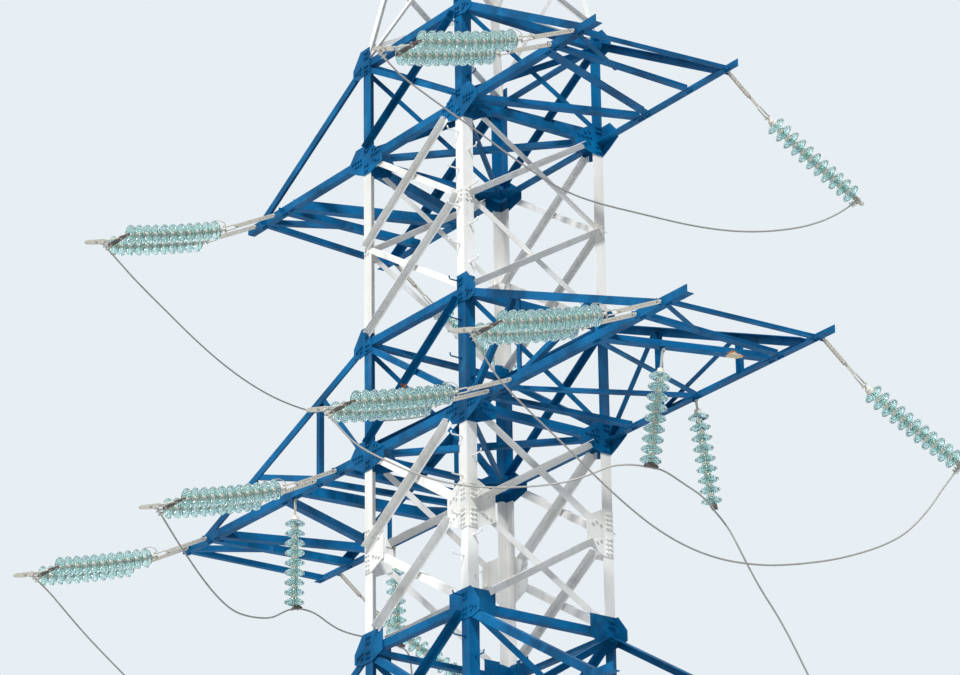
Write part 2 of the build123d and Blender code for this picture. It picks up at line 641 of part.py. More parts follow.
# Peak for the earth wire
with BuildPart() as peak:
    foot = (shaft_half, shaft_half, SHAFT_TOP)
    head = (PEAK_WIDTH / 2, PEAK_WIDTH / 2, PEAK_TOP)
    pieces = [angle_bar(foot, head, (-1, 0, 0), (0, -1, 0), PEAK_LEG)]
    levels = [SHAFT_TOP + rise for rise in PEAK_RISES]
    ends = (PEAK_LEG[0] / 2, PEAK_LEG[0] / 2)
    sizes = (PEAK_BRACE, PEAK_BRACE)
    for low, high in zip(levels, levels[1:]):
        panel = (low, low, high)
        if low == SHAFT_TOP:
            panel = (low + PEAK_OUTER_RISE, low + PEAK_NODE_RISE, high)
        pieces += cross_panel(panel, PEAK_LEG, sizes, ends, ends, offset=0, half=peak_half, hand=-1)
    for face in faces:
        with Locations(Rotation(0, 0, turns[face])):
            add(pieces)
    split(bisect_by=Plane.XY.offset(SHAFT_TOP), keep=Keep.TOP)
    split(bisect_by=Plane.XY.offset(PEAK_TOP - CAP_PLATE), keep=Keep.BOTTOM)
    add(block(Plane.XY.offset(PEAK_TOP - CAP_PLATE), PEAK_WIDTH, PEAK_WIDTH, CAP_PLATE))
write(peak.part, "earth_wire_peak")


def string_way(slope, along):
    """The direction of a string that slopes down along the line, to the back if along is 1."""
    return Vector(0, along * cos(radians(slope)), -sin(radians(slope)))


def disc_string(start, towards, count):
    """A string of glass discs with their caps and pins, cap first."""
    outline = [(0, 0)]
    for number in range(count):
        low = number * DISC_PITCH
        outline += [(38, low), (46, low + 14), (50, low + 58), (64, low + 66)]
        outline += [(DISC_RADIUS, low + 96), (DISC_RADIUS, low + 108), (100, low + 110), (60, low + 100)]
        outline += [(24, low + 104), (10, low + 120), (10, low + DISC_PITCH)]
    outline.append((0, count * DISC_PITCH))
    sideways = Vector(1, 0, 0)
    sideways = (sideways - towards * sideways.dot(towards)).normalized()
    section = Plane(start, x_dir=sideways, z_dir=sideways.cross(towards))
    with BuildSketch(section, mode=Mode.PRIVATE) as half:
        with BuildLine():
            Polyline(outline, close=True)
        make_face()
    return revolve(half.sketch, axis=Axis(start, towards), mode=Mode.PRIVATE)


def strand(out, end_out, level, link_length, slopes, along):
    """A link, its pin and a string of discs. Returns them and the end of the string. The link runs
    straight away from the crossarm, and the discs draw in to how far out their end is."""
    start = Vector(out, along * (shaft_half + LUG_REACH), level - LUG_DROP)
    link_way = string_way(slopes[0], along)
    joint = start + link_way * link_length
    end = joint + string_way(slopes[1], along) * (TENSION_DISCS * DISC_PITCH)
    end = Vector(end_out, end.Y, end.Z)
    back = start - link_way * (LINK[0] / 4)
    link = block(Plane(back, x_dir=(1, 0, 0), z_dir=link_way), LINK[1], LINK[0], (joint - back).length)
    pin = rod(joint - Vector(PIN[1] / 2, 0, 0), (1, 0, 0), PIN[1], PIN[0])
    discs = disc_string(joint, (end - joint).normalized(), TENSION_DISCS)
    return [link, pin, discs], end


def clamp(start, way, length, tail_start, target):
    """A clamp along a string and its tail towards the jumper. Returns them and the tail's end."""
    tail_foot = start + way * tail_start
    tail_way = (target - tail_foot).normalized()
    pieces = [rod(start, way, length, CLAMP_RADIUS), rod(tail_foot, tail_way, TAIL_LENGTH, TAIL_RADIUS)]
    return pieces, tail_foot + tail_way * TAIL_LENGTH


def front_string(name, target):
    """The two strands, the yoke and the clamp of a phase at the front, and the tail's end."""
    arm, out, link_slope, tail_start = FRONT_STRINGS[name]
    way = string_way(FRONT_DISC_SLOPE, -1)
    pieces, ends = [], []
    for side in (-1, 1):
        places = (out + side * STRAND_SPACING / 2, out + side * YOKE_SPACING / 2)
        made, end = strand(*places, arm_levels[arm], FRONT_LINK, (link_slope, FRONT_DISC_SLOPE), -1)
        pieces += made
        ends.append(end)
    middle = (ends[0] + ends[1]) / 2 - way * CLEARANCE
    width = YOKE_SPACING + 2 * YOKE_OVERHANG
    pieces.append(block(Plane(middle, x_dir=(1, 0, 0), z_dir=way), width, YOKE[1], YOKE[0]))
    start = middle + way * (YOKE[0] + YOKE_ROD_REACH)
    for side in (-1, 1):
        foot = middle + way * (YOKE[0] - YOKE[1]) + Vector(side * YOKE_ROD_SPREAD, 0, 0)
        head = start + way * YOKE[1]
        pieces.append(rod(foot, head - foot, (head - foot).length, YOKE_ROD))
    made, tail = clamp(start, way, CLAMP_LENGTH, tail_start, target)
    return pieces + made, tail


def back_string(arm, out, target):
    """The single string at the back and its clamp, and the tail's end."""
    slopes = (BACK_LINK_SLOPE, BACK_DISC_SLOPES[arm])
    pieces, end = strand(out, out, arm_levels[arm], BACK_LINK, slopes, 1)
    way = string_way(slopes[1], 1)
    made, tail = clamp(end - way * CLEARANCE, way, BACK_CLAMP_LENGTH, BACK_TAIL_START, target)
    return pieces + made, tail


def support_string(top, points, level, count):
    """A string that holds up a jumper in the middle between two points of its route."""
    before, after = points
    wire_way = (after - before).normalized()
    up = (Vector(0, 0, 1) - wire_way * wire_way.Z).normalized()
    seat = (before + after) / 2 + up * (wire_radius + SADDLE_GAP)
    length, width, height = SADDLE
    plane = Plane(seat - wire_way * (length / 2) + up * (height / 2), x_dir=up, z_dir=wire_way)
    saddle = block(plane, height, width, length)
    x, y, _ = top
    head = Vector(x + LUG[1] / 2 + CLEARANCE + LINK[1] / 2, y, level - HANGER_DROP + HANGER_LAP)
    foot = seat + up * (height - CLEARANCE)
    way = (foot - head).normalized()
    disc_start = foot - way * (count * DISC_PITCH)
    link = block(Plane(head, x_dir=(1, 0, 0), z_dir=way), LINK[1], LINK[0], (disc_start - head).length)
    hole = head + way * (HANGER_LAP / 2)
    bolt = rod((x + LUG[1] / 2, hole.Y, hole.Z), (1, 0, 0), CLEARANCE + LINK[1], HANGER_BOLT)
    return [saddle, link, bolt, disc_string(disc_start, way, count)]


def jumper(points, name):
    """A jumper's tube along its points, with every corner rounded as far as its runs allow."""
    radii = []
    for before, here, after in zip(points, points[1:], points[2:]):
        turn = radians((here - before).get_angle(after - here))
        radii.append(SMOOTHNESS * min((here - before).length, (after - here).length) / tan(turn / 2))
    with BuildPart() as tube:
        with BuildLine() as path:
            FilletPolyline(*points, radius=radii)
        with BuildSketch(Plane(points[0], z_dir=points[1] - points[0])):
            Circle(wire_radius)
        sweep()
    length = path.wires()[0].length
    print(name, "length", round(length), "radii", [round(radius) for radius in radii])
    print(name, "volume over section times length", tube.part.volume / (pi * wire_radius ** 2 * length))
    write(tube.part, "jumper_" + name)


def route(points, level):
    """Points of a route, measured from a level."""
    return [Vector(x, y, level + rise) for x, y, rise in points]


# Each jumper's route, the crossarm where it ends, and which of that crossarm's strings it ends at
routes = {
    "upper_right": (route(UPPER_RIGHT_ROUTE, UPPER_ARM), "upper", 0),
    "upper_left": (route(UPPER_LEFT_ROUTE, UPPER_ARM), "upper", 1),
    "outer_right": (route(OUTER_RIGHT_ROUTE, MIDDLE_ARM), "middle", 0),
    "outer_left": (route(OUTER_LEFT_ROUTE, MIDDLE_ARM), "middle", 1),
    "inner_right": (route(INNER_RIGHT_ROUTE, MIDDLE_ARM) + route(RIGHT_LOWER_END, LOWER_ARM), "lower", 0),
    "inner_left": (route(INNER_LEFT_ROUTE, MIDDLE_ARM) + route(LEFT_LOWER_END, LOWER_ARM), "lower", 1),
}
back_pieces = {arm: [] for arm in arm_levels}
for name, (points, arm, number) in routes.items():
    front_pieces, front_tail = front_string(name, points[0])
    with BuildPart() as front:
        add(front_pieces)
    write(front.part, "front_strings_" + name)
    made, back_tail = back_string(arm, BACK_STRINGS[arm][number], points[-1])
    back_pieces[arm] += made
    jumper([front_tail] + points + [back_tail], name)
for arm, pieces in back_pieces.items():
    with BuildPart() as back:
        add(pieces)
    write(back.part, "back_strings_" + arm)

# Strings that hold up the inner jumpers
with BuildPart() as supports:
    for name, strings in SUPPORTS.items():
        points = routes[name][0]
        for number, top, count in strings:
            add(support_string(top, points[number:number + 2], MIDDLE_ARM, count))
write(supports.part, "support_strings")
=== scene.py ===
import math
import random

import bpy
from mathutils import Matrix, Vector


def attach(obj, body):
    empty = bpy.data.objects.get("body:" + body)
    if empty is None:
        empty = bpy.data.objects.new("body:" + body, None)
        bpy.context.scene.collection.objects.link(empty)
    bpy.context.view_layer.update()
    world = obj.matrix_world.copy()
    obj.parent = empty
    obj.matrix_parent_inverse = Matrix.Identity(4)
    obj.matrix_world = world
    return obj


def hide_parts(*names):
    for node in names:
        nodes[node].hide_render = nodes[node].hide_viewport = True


# A lattice pylon in blue and white paint, with glass insulator strings. All in metres, in the
# part's own frame: X along the crossarms, Y along the line, Z up from the ground.
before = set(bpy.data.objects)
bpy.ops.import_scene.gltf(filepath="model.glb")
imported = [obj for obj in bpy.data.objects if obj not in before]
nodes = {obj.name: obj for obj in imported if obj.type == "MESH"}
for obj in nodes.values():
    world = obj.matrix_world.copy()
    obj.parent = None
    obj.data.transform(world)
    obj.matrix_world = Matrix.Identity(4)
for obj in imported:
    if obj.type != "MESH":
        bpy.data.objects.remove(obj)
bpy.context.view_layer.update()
scene = bpy.context.scene
random.seed(7)

# The camera: where it stands, where it looks, and how far it tilts, in degrees
CAMERA_PLACE = (38.482, -27.932, 1.600)
CAMERA_AZIMUTH = -54.106
CAMERA_ELEVATION = 22.146
CAMERA_ROLL = -0.840
CAMERA_LENS = 155.2

# Sizes of the pylon
SHAFT_HALF = 1.08
BASE_HALF = 2.6
LEVELS = {"lower": 15.5, "middle": 19.5, "upper": 23.5}
TOPS = {"lower": 17.0, "middle": 21.0, "upper": 24.85}
SPLICE = 18.25
MIDDLE_NODE = 22.25
KINK = 15.275
GUSSET = 0.010
CHORD = 0.100
BAND_BELOW, BAND_ABOVE = 0.20, 0.15
FOOT_LEVELS = (5.0, 8.6, 11.4, 13.6, 15.125)

# Insulator strings and their fittings
DISC_PITCH = 0.130
TENSION_DISCS = 11
STRAND_SPACING, YOKE_SPACING = 0.450, 0.426
FRONT_LINK, BACK_LINK = 0.890, 0.800
STRING_SAG = 0.018
LINK_WIDTH, LINK_HOLE, HOLE_PITCH = 0.050, 0.014, 0.042
FRONT_HOLES, BACK_HOLES = 16, 10
LUG_REACH, LUG_DROP = 0.040, 0.020
YOKE_LENGTH, YOKE_THICK = 0.100, 0.016
YOKE_HALF = YOKE_SPACING / 2 + 0.030
YOKE_ROD_SPREAD, YOKE_ROD_REACH = 0.120, 0.143
CLAMP_LENGTH, BACK_CLAMP_LENGTH = 0.300, 0.200
BACK_TAIL_START = 0.110
TAIL_LENGTH = 0.180
CLEARANCE = 0.005
DISC_SLOPE = 16
BACK_LINK_SLOPE = 38
BACK_DISC_SLOPES = {"lower": 28, "middle": 25, "upper": 28}
HANGER_DROP, HANGER_LAP = 0.090, 0.030
HANGER_OFFSET = 0.019
SADDLE_LENGTH, SADDLE_HEIGHT = 0.090, 0.050
WIRE = 0.022
SADDLE_SEAT = WIRE / 2 + 0.0003

FRONT_STRINGS = {
    "upper_right": ("upper", 3.180, 23, 0.260),
    "upper_left": ("upper", -3.350, 27, 0.060),
    "outer_right": ("middle", 4.660, 23, 0.060),
    "outer_left": ("middle", -4.930, 27, 0.060),
    "inner_right": ("middle", 1.800, 23, 0.060),
    "inner_left": ("middle", -1.900, 27, 0.060),
}
BACK_STRINGS = {"lower": (3.56, -3.56), "middle": (5.07, -4.91), "upper": (3.56, -3.56)}
SUPPORTS = {
    "inner_right": [(15, (3.85, -0.28), 9), (26, (2.79, 1.04), 9)],
    "inner_left": [(11, (-2.735, -1.03), 9), (23, (-3.55, 1.04), 8)],
}

# Routes of the jumpers: out along the crossarm, along the line, and up from the crossarm
UPPER_RIGHT_ROUTE = [
    (3.183, -3.52, -1.116), (3.195, -3.34, -1.215), (3.205, -3.11, -1.32), (3.222, -2.84, -1.44),
    (3.24, -2.57, -1.555), (3.258, -2.29, -1.68), (3.276, -2.01, -1.815), (3.294, -1.73, -1.935),
    (3.312, -1.44, -2.05), (3.33, -1.13, -2.125), (3.345, -0.82, -2.152), (3.36, -0.5, -2.156),
    (3.377, -0.18, -2.15), (3.393, 0.14, -2.148), (3.41, 0.46, -2.142), (3.425, 0.775, -2.122),
    (3.441, 1.085, -2.088), (3.458, 1.39, -2.036), (3.476, 1.69, -1.965), (3.494, 1.98, -1.877),
    (3.512, 2.26, -1.775), (3.528, 2.52, -1.65), (3.541, 2.71, -1.535), (3.552, 2.86, -1.43),
]
UPPER_LEFT_ROUTE = [
    (-3.356, -3.29, -1.125), (-3.363, -3.08, -1.285), (-3.372, -2.85, -1.44), (-3.381, -2.6, -1.6),
    (-3.391, -2.35, -1.762), (-3.401, -2.08, -1.93), (-3.412, -1.8, -2.085), (-3.422, -1.51, -2.222),
    (-3.432, -1.21, -2.335), (-3.441, -0.9, -2.42), (-3.449, -0.59, -2.468), (-3.457, -0.27, -2.484),
    (-3.465, 0.05, -2.482), (-3.475, 0.36, -2.45), (-3.484, 0.67, -2.4), (-3.493, 0.97, -2.325),
    (-3.502, 1.27, -2.235), (-3.511, 1.56, -2.13), (-3.52, 1.84, -2.01), (-3.53, 2.11, -1.88),
    (-3.539, 2.37, -1.745), (-3.547, 2.59, -1.62), (-3.553, 2.76, -1.505), (-3.558, 2.89, -1.41),
]
OUTER_RIGHT_ROUTE = [
    (4.668, -3.39, -1.15), (4.678, -3.23, -1.345), (4.69, -3.02, -1.515), (4.703, -2.79, -1.68),
    (4.718, -2.55, -1.845), (4.735, -2.31, -2.015), (4.752, -2.07, -2.195), (4.77, -1.82, -2.37),
    (4.788, -1.56, -2.535), (4.806, -1.28, -2.69), (4.824, -0.98, -2.81), (4.842, -0.67, -2.89),
    (4.86, -0.35, -2.928), (4.878, -0.03, -2.922), (4.896, 0.285, -2.89), (4.915, 0.59, -2.83),
    (4.933, 0.89, -2.755), (4.951, 1.19, -2.67), (4.969, 1.48, -2.565), (4.987, 1.76, -2.45),
    (5.005, 2.03, -2.315), (5.022, 2.27, -2.16), (5.04, 2.48, -1.96), (5.054, 2.67, -1.745),
    (5.066, 2.85, -1.5),
]
OUTER_LEFT_ROUTE = [
    (-4.933, -3.295, -1.085), (-4.935, -3.11, -1.245), (-4.936, -2.9, -1.43), (-4.937, -2.68, -1.61),
    (-4.938, -2.44, -1.79), (-4.938, -2.2, -1.965), (-4.937, -1.95, -2.15), (-4.936, -1.69, -2.325),
    (-4.935, -1.42, -2.49), (-4.934, -1.13, -2.64), (-4.933, -0.83, -2.765), (-4.932, -0.52, -2.85),
    (-4.93, -0.2, -2.9), (-4.928, 0.12, -2.898), (-4.926, 0.43, -2.86), (-4.924, 0.73, -2.795),
    (-4.922, 1.03, -2.715), (-4.92, 1.32, -2.615), (-4.918, 1.6, -2.505), (-4.916, 1.87, -2.38),
    (-4.914, 2.12, -2.225), (-4.913, 2.34, -2.05), (-4.912, 2.54, -1.85), (-4.911, 2.71, -1.66),
    (-4.91, 2.88, -1.465),
]
INNER_RIGHT_ROUTE = [
    (1.915, -3.415, -1.118), (1.98, -3.31, -1.255), (2.07, -3.165, -1.368), (2.19, -2.975, -1.485),
    (2.33, -2.755, -1.612), (2.485, -2.51, -1.71), (2.65, -2.255, -1.77), (2.82, -1.99, -1.793),
    (2.99, -1.725, -1.785), (3.15, -1.475, -1.76), (3.3, -1.24, -1.71), (3.44, -1.03, -1.622),
    (3.55, -0.865, -1.53), (3.64, -0.73, -1.508), (3.705, -0.63, -1.51), (3.75, -0.545, -1.52),
    (3.812, -0.365, -1.537), (3.818, -0.268, -1.552), (3.795, -0.155, -1.57), (3.735, -0.015, -1.577),
    (3.64, 0.145, -1.564), (3.505, 0.345, -1.533), (3.345, 0.57, -1.493), (3.185, 0.79, -1.462),
    (3.06, 0.95, -1.444), (2.965, 1.06, -1.426), (2.892, 1.143, -1.408), (2.766, 1.287, -1.396),
    (2.733, 1.38, -1.432), (2.745, 1.45, -1.508), (2.778, 1.515, -1.615), (2.825, 1.585, -1.8),
    (2.885, 1.67, -2.04), (2.965, 1.795, -2.35), (3.045, 1.95, -2.64), (3.11, 2.08, -2.925),
    (3.17, 2.2, -3.225),
]
INNER_LEFT_ROUTE = [
    (-2, -3.305, -1.125), (-2.06, -3.13, -1.27), (-2.14, -2.905, -1.44), (-2.225, -2.66, -1.61),
    (-2.31, -2.41, -1.75), (-2.395, -2.14, -1.845), (-2.48, -1.86, -1.838), (-2.56, -1.6, -1.79),
    (-2.62, -1.42, -1.73), (-2.662, -1.29, -1.65), (-2.69, -1.195, -1.59), (-2.71, -1.108, -1.543),
    (-2.756, -0.93, -1.489), (-2.78, -0.836, -1.48), (-2.815, -0.715, -1.473), (-2.875, -0.56, -1.485),
    (-2.96, -0.35, -1.53), (-3.065, -0.09, -1.549), (-3.175, 0.185, -1.52), (-3.285, 0.45, -1.478),
    (-3.38, 0.67, -1.448), (-3.445, 0.82, -1.428), (-3.485, 0.915, -1.416), (-3.515, 1.005, -1.41),
    (-3.562, 1.188, -1.412), (-3.585, 1.28, -1.438), (-3.618, 1.345, -1.53), (-3.645, 1.385, -1.67),
    (-3.666, 1.415, -1.865), (-3.68, 1.445, -2.125), (-3.682, 1.505, -2.415), (-3.675, 1.595, -2.7),
    (-3.662, 1.712, -2.98), (-3.645, 1.855, -3.25), (-3.626, 2.012, -3.51),
]
RIGHT_LOWER_END = [
    (3.225, 2.325, 0.48), (3.28, 2.44, 0.2), (3.34, 2.575, -0.05), (3.4, 2.715, -0.28),
    (3.455, 2.845, -0.49), (3.5, 2.95, -0.67), (3.53, 3.025, -0.82), (3.545, 3.07, -0.94),
]
LEFT_LOWER_END = [
    (-3.608, 2.18, 0.24), (-3.594, 2.35, 0.01), (-3.584, 2.5, -0.19), (-3.576, 2.64, -0.37),
    (-3.57, 2.765, -0.53), (-3.566, 2.875, -0.67), (-3.563, 2.965, -0.79), (-3.561, 3.065, -0.935),
]

faces = {
    "front": (Vector((0, -1, 0)), Vector((1, 0, 0))),
    "right": (Vector((1, 0, 0)), Vector((0, 1, 0))),
    "back": (Vector((0, 1, 0)), Vector((-1, 0, 0))),
    "left": (Vector((-1, 0, 0)), Vector((0, -1, 0))),
}


def half_width(height):
    """Half the width of the body over its legs at a height."""
    return SHAFT_HALF + max(0, KINK - height) * (BASE_HALF - SHAFT_HALF) / KINK


def string_way(slope, along):
    """The direction of a string that slopes down along the line, to the back if along is 1."""
    return Vector((0, along * math.cos(math.radians(slope)), -math.sin(math.radians(slope))))


def axes(way, side=(1, 0, 0)):
    """Three directions at right angles: one near side, the third one, and way itself."""
    way = Vector(way).normalized()
    side = Vector(side)
    side = (side - way * side.dot(way)).normalized()
    return side, way.cross(side), way


class Finish:
    """A procedural material in the making. Its noises follow the part's own frame."""

    def __init__(self, name):
        self.material = bpy.data.materials.new(name)
        self.material.use_nodes = True
        self.tree = self.material.node_tree
        self.shader = self.tree.nodes["Principled BSDF"]
        self.where = self.tree.nodes.new("ShaderNodeTexCoord").outputs["Object"]

    def link(self, value, socket):
        """Puts a number, a colour or another node's output on a socket."""
        if isinstance(value, bpy.types.NodeSocket):
            self.tree.links.new(value, socket)
        elif isinstance(value, tuple) and len(value) == 3 and socket.type == "RGBA":
            socket.default_value = (*value, 1)
        else:
            socket.default_value = value

    def math(self, operation, first, second=0.0):
        """One sum of two values."""
        node = self.tree.nodes.new("ShaderNodeMath")
        node.operation = operation
        self.link(first, node.inputs[0])
        self.link(second, node.inputs[1])
        return node.outputs[0]

    def noise(self, scale, detail=4, stretch=(1, 1, 1)):
        """A noise from 0 to 1, its grain stretched along each axis."""
        mapping = self.tree.nodes.new("ShaderNodeMapping")
        self.link(self.where, mapping.inputs["Vector"])
        mapping.inputs["Scale"].default_value = stretch
        node = self.tree.nodes.new("ShaderNodeTexNoise")
        self.link(mapping.outputs[0], node.inputs["Vector"])
        node.inputs["Scale"].default_value = scale
        node.inputs["Detail"].default_value = detail
        return node.outputs["Fac"]

    def ramp(self, value, low, high, start=0.0, end=1.0):
        """A value that goes from start to end as the first one goes from low to high."""
        node = self.tree.nodes.new("ShaderNodeMapRange")
        self.link(value, node.inputs["Value"])
        for name, number in (("From Min", low), ("From Max", high), ("To Min", start), ("To Max", end)):
            node.inputs[name].default_value = number
        return node.outputs["Result"]

    def mix(self, share, first, second):
        """A mixture of two colours."""
        node = self.tree.nodes.new("ShaderNodeMix")
        node.data_type = "RGBA"
        self.link(share, node.inputs["Factor"])
        self.link(first, node.inputs["A"])
        self.link(second, node.inputs["B"])
        return node.outputs["Result"]

    def near(self, spot, radius, wander):
        """1 within a ragged patch round a spot, 0 outside."""
        node = self.tree.nodes.new("ShaderNodeVectorMath")
        node.operation = "DISTANCE"
        self.link(self.where, node.inputs[0])
        node.inputs[1].default_value = spot
        ragged = self.math("ADD", node.outputs["Value"], self.ramp(self.noise(14), 0.3, 0.7, 0, wander))
        return self.math("LESS_THAN", ragged, radius)

    def bump(self, height, distance, strength=0.5):
        """Relief, in metres."""
        node = self.tree.nodes.new("ShaderNodeBump")
        self.link(height, node.inputs["Height"])
        node.inputs["Distance"].default_value = distance
        node.inputs["Strength"].default_value = strength
        self.link(node.outputs[0], self.shader.inputs["Normal"])

    def done(self, colour, roughness, metallic=0.0):
        """Sets the shader's main values."""
        self.link(colour, self.shader.inputs["Base Color"])
        self.link(roughness, self.shader.inputs["Roughness"])
        self.shader.inputs["Metallic"].default_value = metallic
        return self.material


WHITE = (0.88, 0.87, 0.84)
OLD_WHITE = (0.74, 0.72, 0.66)
BLUE = (0.0, 0.122, 0.300)
OLD_BLUE = (0.0, 0.056, 0.145)
PALE_BLUE = (0.0, 0.180, 0.390)
RUST = (0.300, 0.085, 0.022)
GRIME = (0.210, 0.190, 0.160)

# Patches where the paint has come off: a rusty one at the front of the middle crossarm, and one on
# a wide bar in its bottom that is bare with rusty edges. Each has its place and its radius.
BARE_SPOTS = [((-0.20, -1.10, 20.08), 0.08), ((4.10, 0.58, 19.45), 0.11)]
BARE_METAL = (0.62, 0.52, 0.36)


def weathered(finish, colour, spots=(), grime=0.35):
    """Old paint over a colour: rain streaks, grime, specks of rust and bare patches."""
    streaks = finish.ramp(finish.noise(1.6, 6, (5, 5, 0.45)), 0.52, 0.74)
    colour = finish.mix(finish.math("MULTIPLY", streaks, grime), colour, GRIME)
    speck = finish.ramp(finish.noise(55, 3), 0.705, 0.735)
    patch = finish.ramp(finish.noise(1.1, 3), 0.46, 0.58)
    rusty = finish.math("MULTIPLY", speck, patch)
    for spot, radius in spots:
        rusty = finish.math("MAXIMUM", rusty, finish.near(spot, radius * 1.15, radius * 0.4))
    rust = finish.mix(finish.noise(40, 5), RUST, (0.52, 0.20, 0.06))
    colour = finish.mix(rusty, colour, rust)
    for spot, radius in spots[1:]:
        colour = finish.mix(finish.near(spot, radius, radius * 0.35), colour, BARE_METAL)
    finish.shader.inputs["Specular IOR Level"].default_value = 0.12
    finish.bump(finish.math("ADD", finish.noise(90, 5), finish.math("MULTIPLY", rusty, -0.6)), 0.0010)
    roughness = finish.ramp(finish.noise(6, 4), 0.3, 0.7, 0.44, 0.62)
    return finish.done(colour, roughness)


def white_colour(finish):
    """White enamel that has yellowed unevenly."""
    return finish.mix(finish.ramp(finish.noise(1.3, 5), 0.42, 0.72), WHITE, OLD_WHITE)


def blue_colour(finish):
    """Blue enamel, faded in some places and darker in others."""
    dull = finish.mix(finish.ramp(finish.noise(1.7, 5), 0.40, 0.68), BLUE, OLD_BLUE)
    return finish.mix(finish.ramp(finish.noise(5.0, 4), 0.56, 0.75, 0, 0.6), dull, PALE_BLUE)


def white_paint():
    """The white bars."""
    finish = Finish("white_paint")
    return weathered(finish, white_colour(finish), grime=0.22)


def blue_paint():
    """The blue bars and plates of the crossarm levels."""
    finish = Finish("blue_paint")
    return weathered(finish, blue_colour(finish), BARE_SPOTS, 0.04)


def banded_paint():
    """The legs: white, with a blue band at each crossarm, its edges painted by hand."""
    finish = Finish("white_and_blue_paint")
    split = finish.tree.nodes.new("ShaderNodeSeparateXYZ")
    finish.link(finish.where, split.inputs[0])
    height = finish.math("ADD", split.outputs["Z"], finish.ramp(finish.noise(9, 3), 0.3, 0.7, -0.015, 0.015))
    band = 0.0
    for arm, level in LEVELS.items():
        above = finish.math("GREATER_THAN", height, level - BAND_BELOW)
        below = finish.math("LESS_THAN", height, TOPS[arm] + BAND_ABOVE)
        band = finish.math("ADD", band, finish.math("MULTIPLY", above, below))
    return weathered(finish, finish.mix(band, white_colour(finish), blue_colour(finish)), grime=0.15)


def zinc():
    """Dull galvanised steel with its faint spangle."""
    finish = Finish("galvanised_steel")
    colour = finish.mix(finish.noise(70, 4), (0.42, 0.42, 0.40), (0.62, 0.61, 0.57))
    stain = finish.ramp(finish.noise(22, 5), 0.60, 0.74, 0, 0.6)
    colour = finish.mix(stain, colour, (0.23, 0.13, 0.07))
    finish.bump(finish.noise(160, 4), 0.0006)
    return finish.done(colour, finish.ramp(finish.noise(30), 0.3, 0.7, 0.42, 0.62), 0.35)


def pale_fitting():
    """The links, clamps and bolts of the strings, chalky with old zinc."""
    finish = Finish("chalky_zinc")
    colour = finish.mix(finish.noise(45, 5), (0.70, 0.68, 0.60), (0.45, 0.42, 0.35))
    stain = finish.ramp(finish.noise(30, 5), 0.56, 0.72, 0, 0.7)
    colour = finish.mix(stain, colour, (0.25, 0.16, 0.09))
    finish.bump(finish.noise(180, 4), 0.0008)
    return finish.done(colour, 0.62, 0.1)


def beige_cap():
    """The caps and pins of the discs, beige with old zinc and dust."""
    finish = Finish("beige_cap")
    colour = finish.mix(finish.noise(45, 5), (0.80, 0.77, 0.68), (0.60, 0.56, 0.47))
    stain = finish.ramp(finish.noise(30, 5), 0.62, 0.76, 0, 0.5)
    colour = finish.mix(stain, colour, (0.32, 0.24, 0.16))
    finish.bump(finish.noise(180, 4), 0.0008)
    return finish.done(colour, 0.68)


def dark_steel():
    """The yokes, saddles and clamp pins, brown-black with age."""
    finish = Finish("dark_steel")
    share = finish.ramp(finish.noise(24, 6), 0.35, 0.70)
    colour = finish.mix(share, (0.085, 0.080, 0.075), (0.110, 0.070, 0.050))
    finish.bump(finish.noise(120, 6), 0.0012)
    return finish.done(colour, 0.72)


def glass():
    """Toughened glass, nearly clear, with a slight teal cast and a thin film of dust."""
    finish = Finish("insulator_glass")
    dust = finish.ramp(finish.noise(12, 5), 0.50, 0.80, 0, 0.25)
    colour = finish.mix(dust, (0.74, 0.97, 0.95), (0.80, 0.90, 0.87))
    shader = finish.shader.inputs
    shader["Transmission Weight"].default_value = 0.95
    shader["IOR"].default_value = 1.45
    finish.bump(finish.noise(35, 3), 0.0004, 0.2)
    return finish.done(colour, finish.ramp(finish.noise(20), 0.3, 0.7, 0.03, 0.10))


def stranded(name):
    """Bare aluminium strands, dull and grey, which show as a slanting ripple."""
    finish = Finish(name)
    coordinate = finish.tree.nodes.new("ShaderNodeTexCoord").outputs["UV"]
    wave = finish.tree.nodes.new("ShaderNodeTexWave")
    wave.bands_direction = "DIAGONAL"
    wave.inputs["Scale"].default_value = 9
    finish.link(coordinate, wave.inputs["Vector"])
    colour = finish.mix(finish.noise(35, 5), (0.30, 0.29, 0.27), (0.46, 0.44, 0.41))
    finish.bump(wave.outputs["Fac"], 0.0025)
    return finish.done(colour, 0.55, 0.6)


white, blue, banded, steel = white_paint(), blue_paint(), banded_paint(), zinc()
chalky, beige, dark, clear = pale_fitting(), beige_cap(), dark_steel(), glass()
conductor = stranded("bare_conductor")


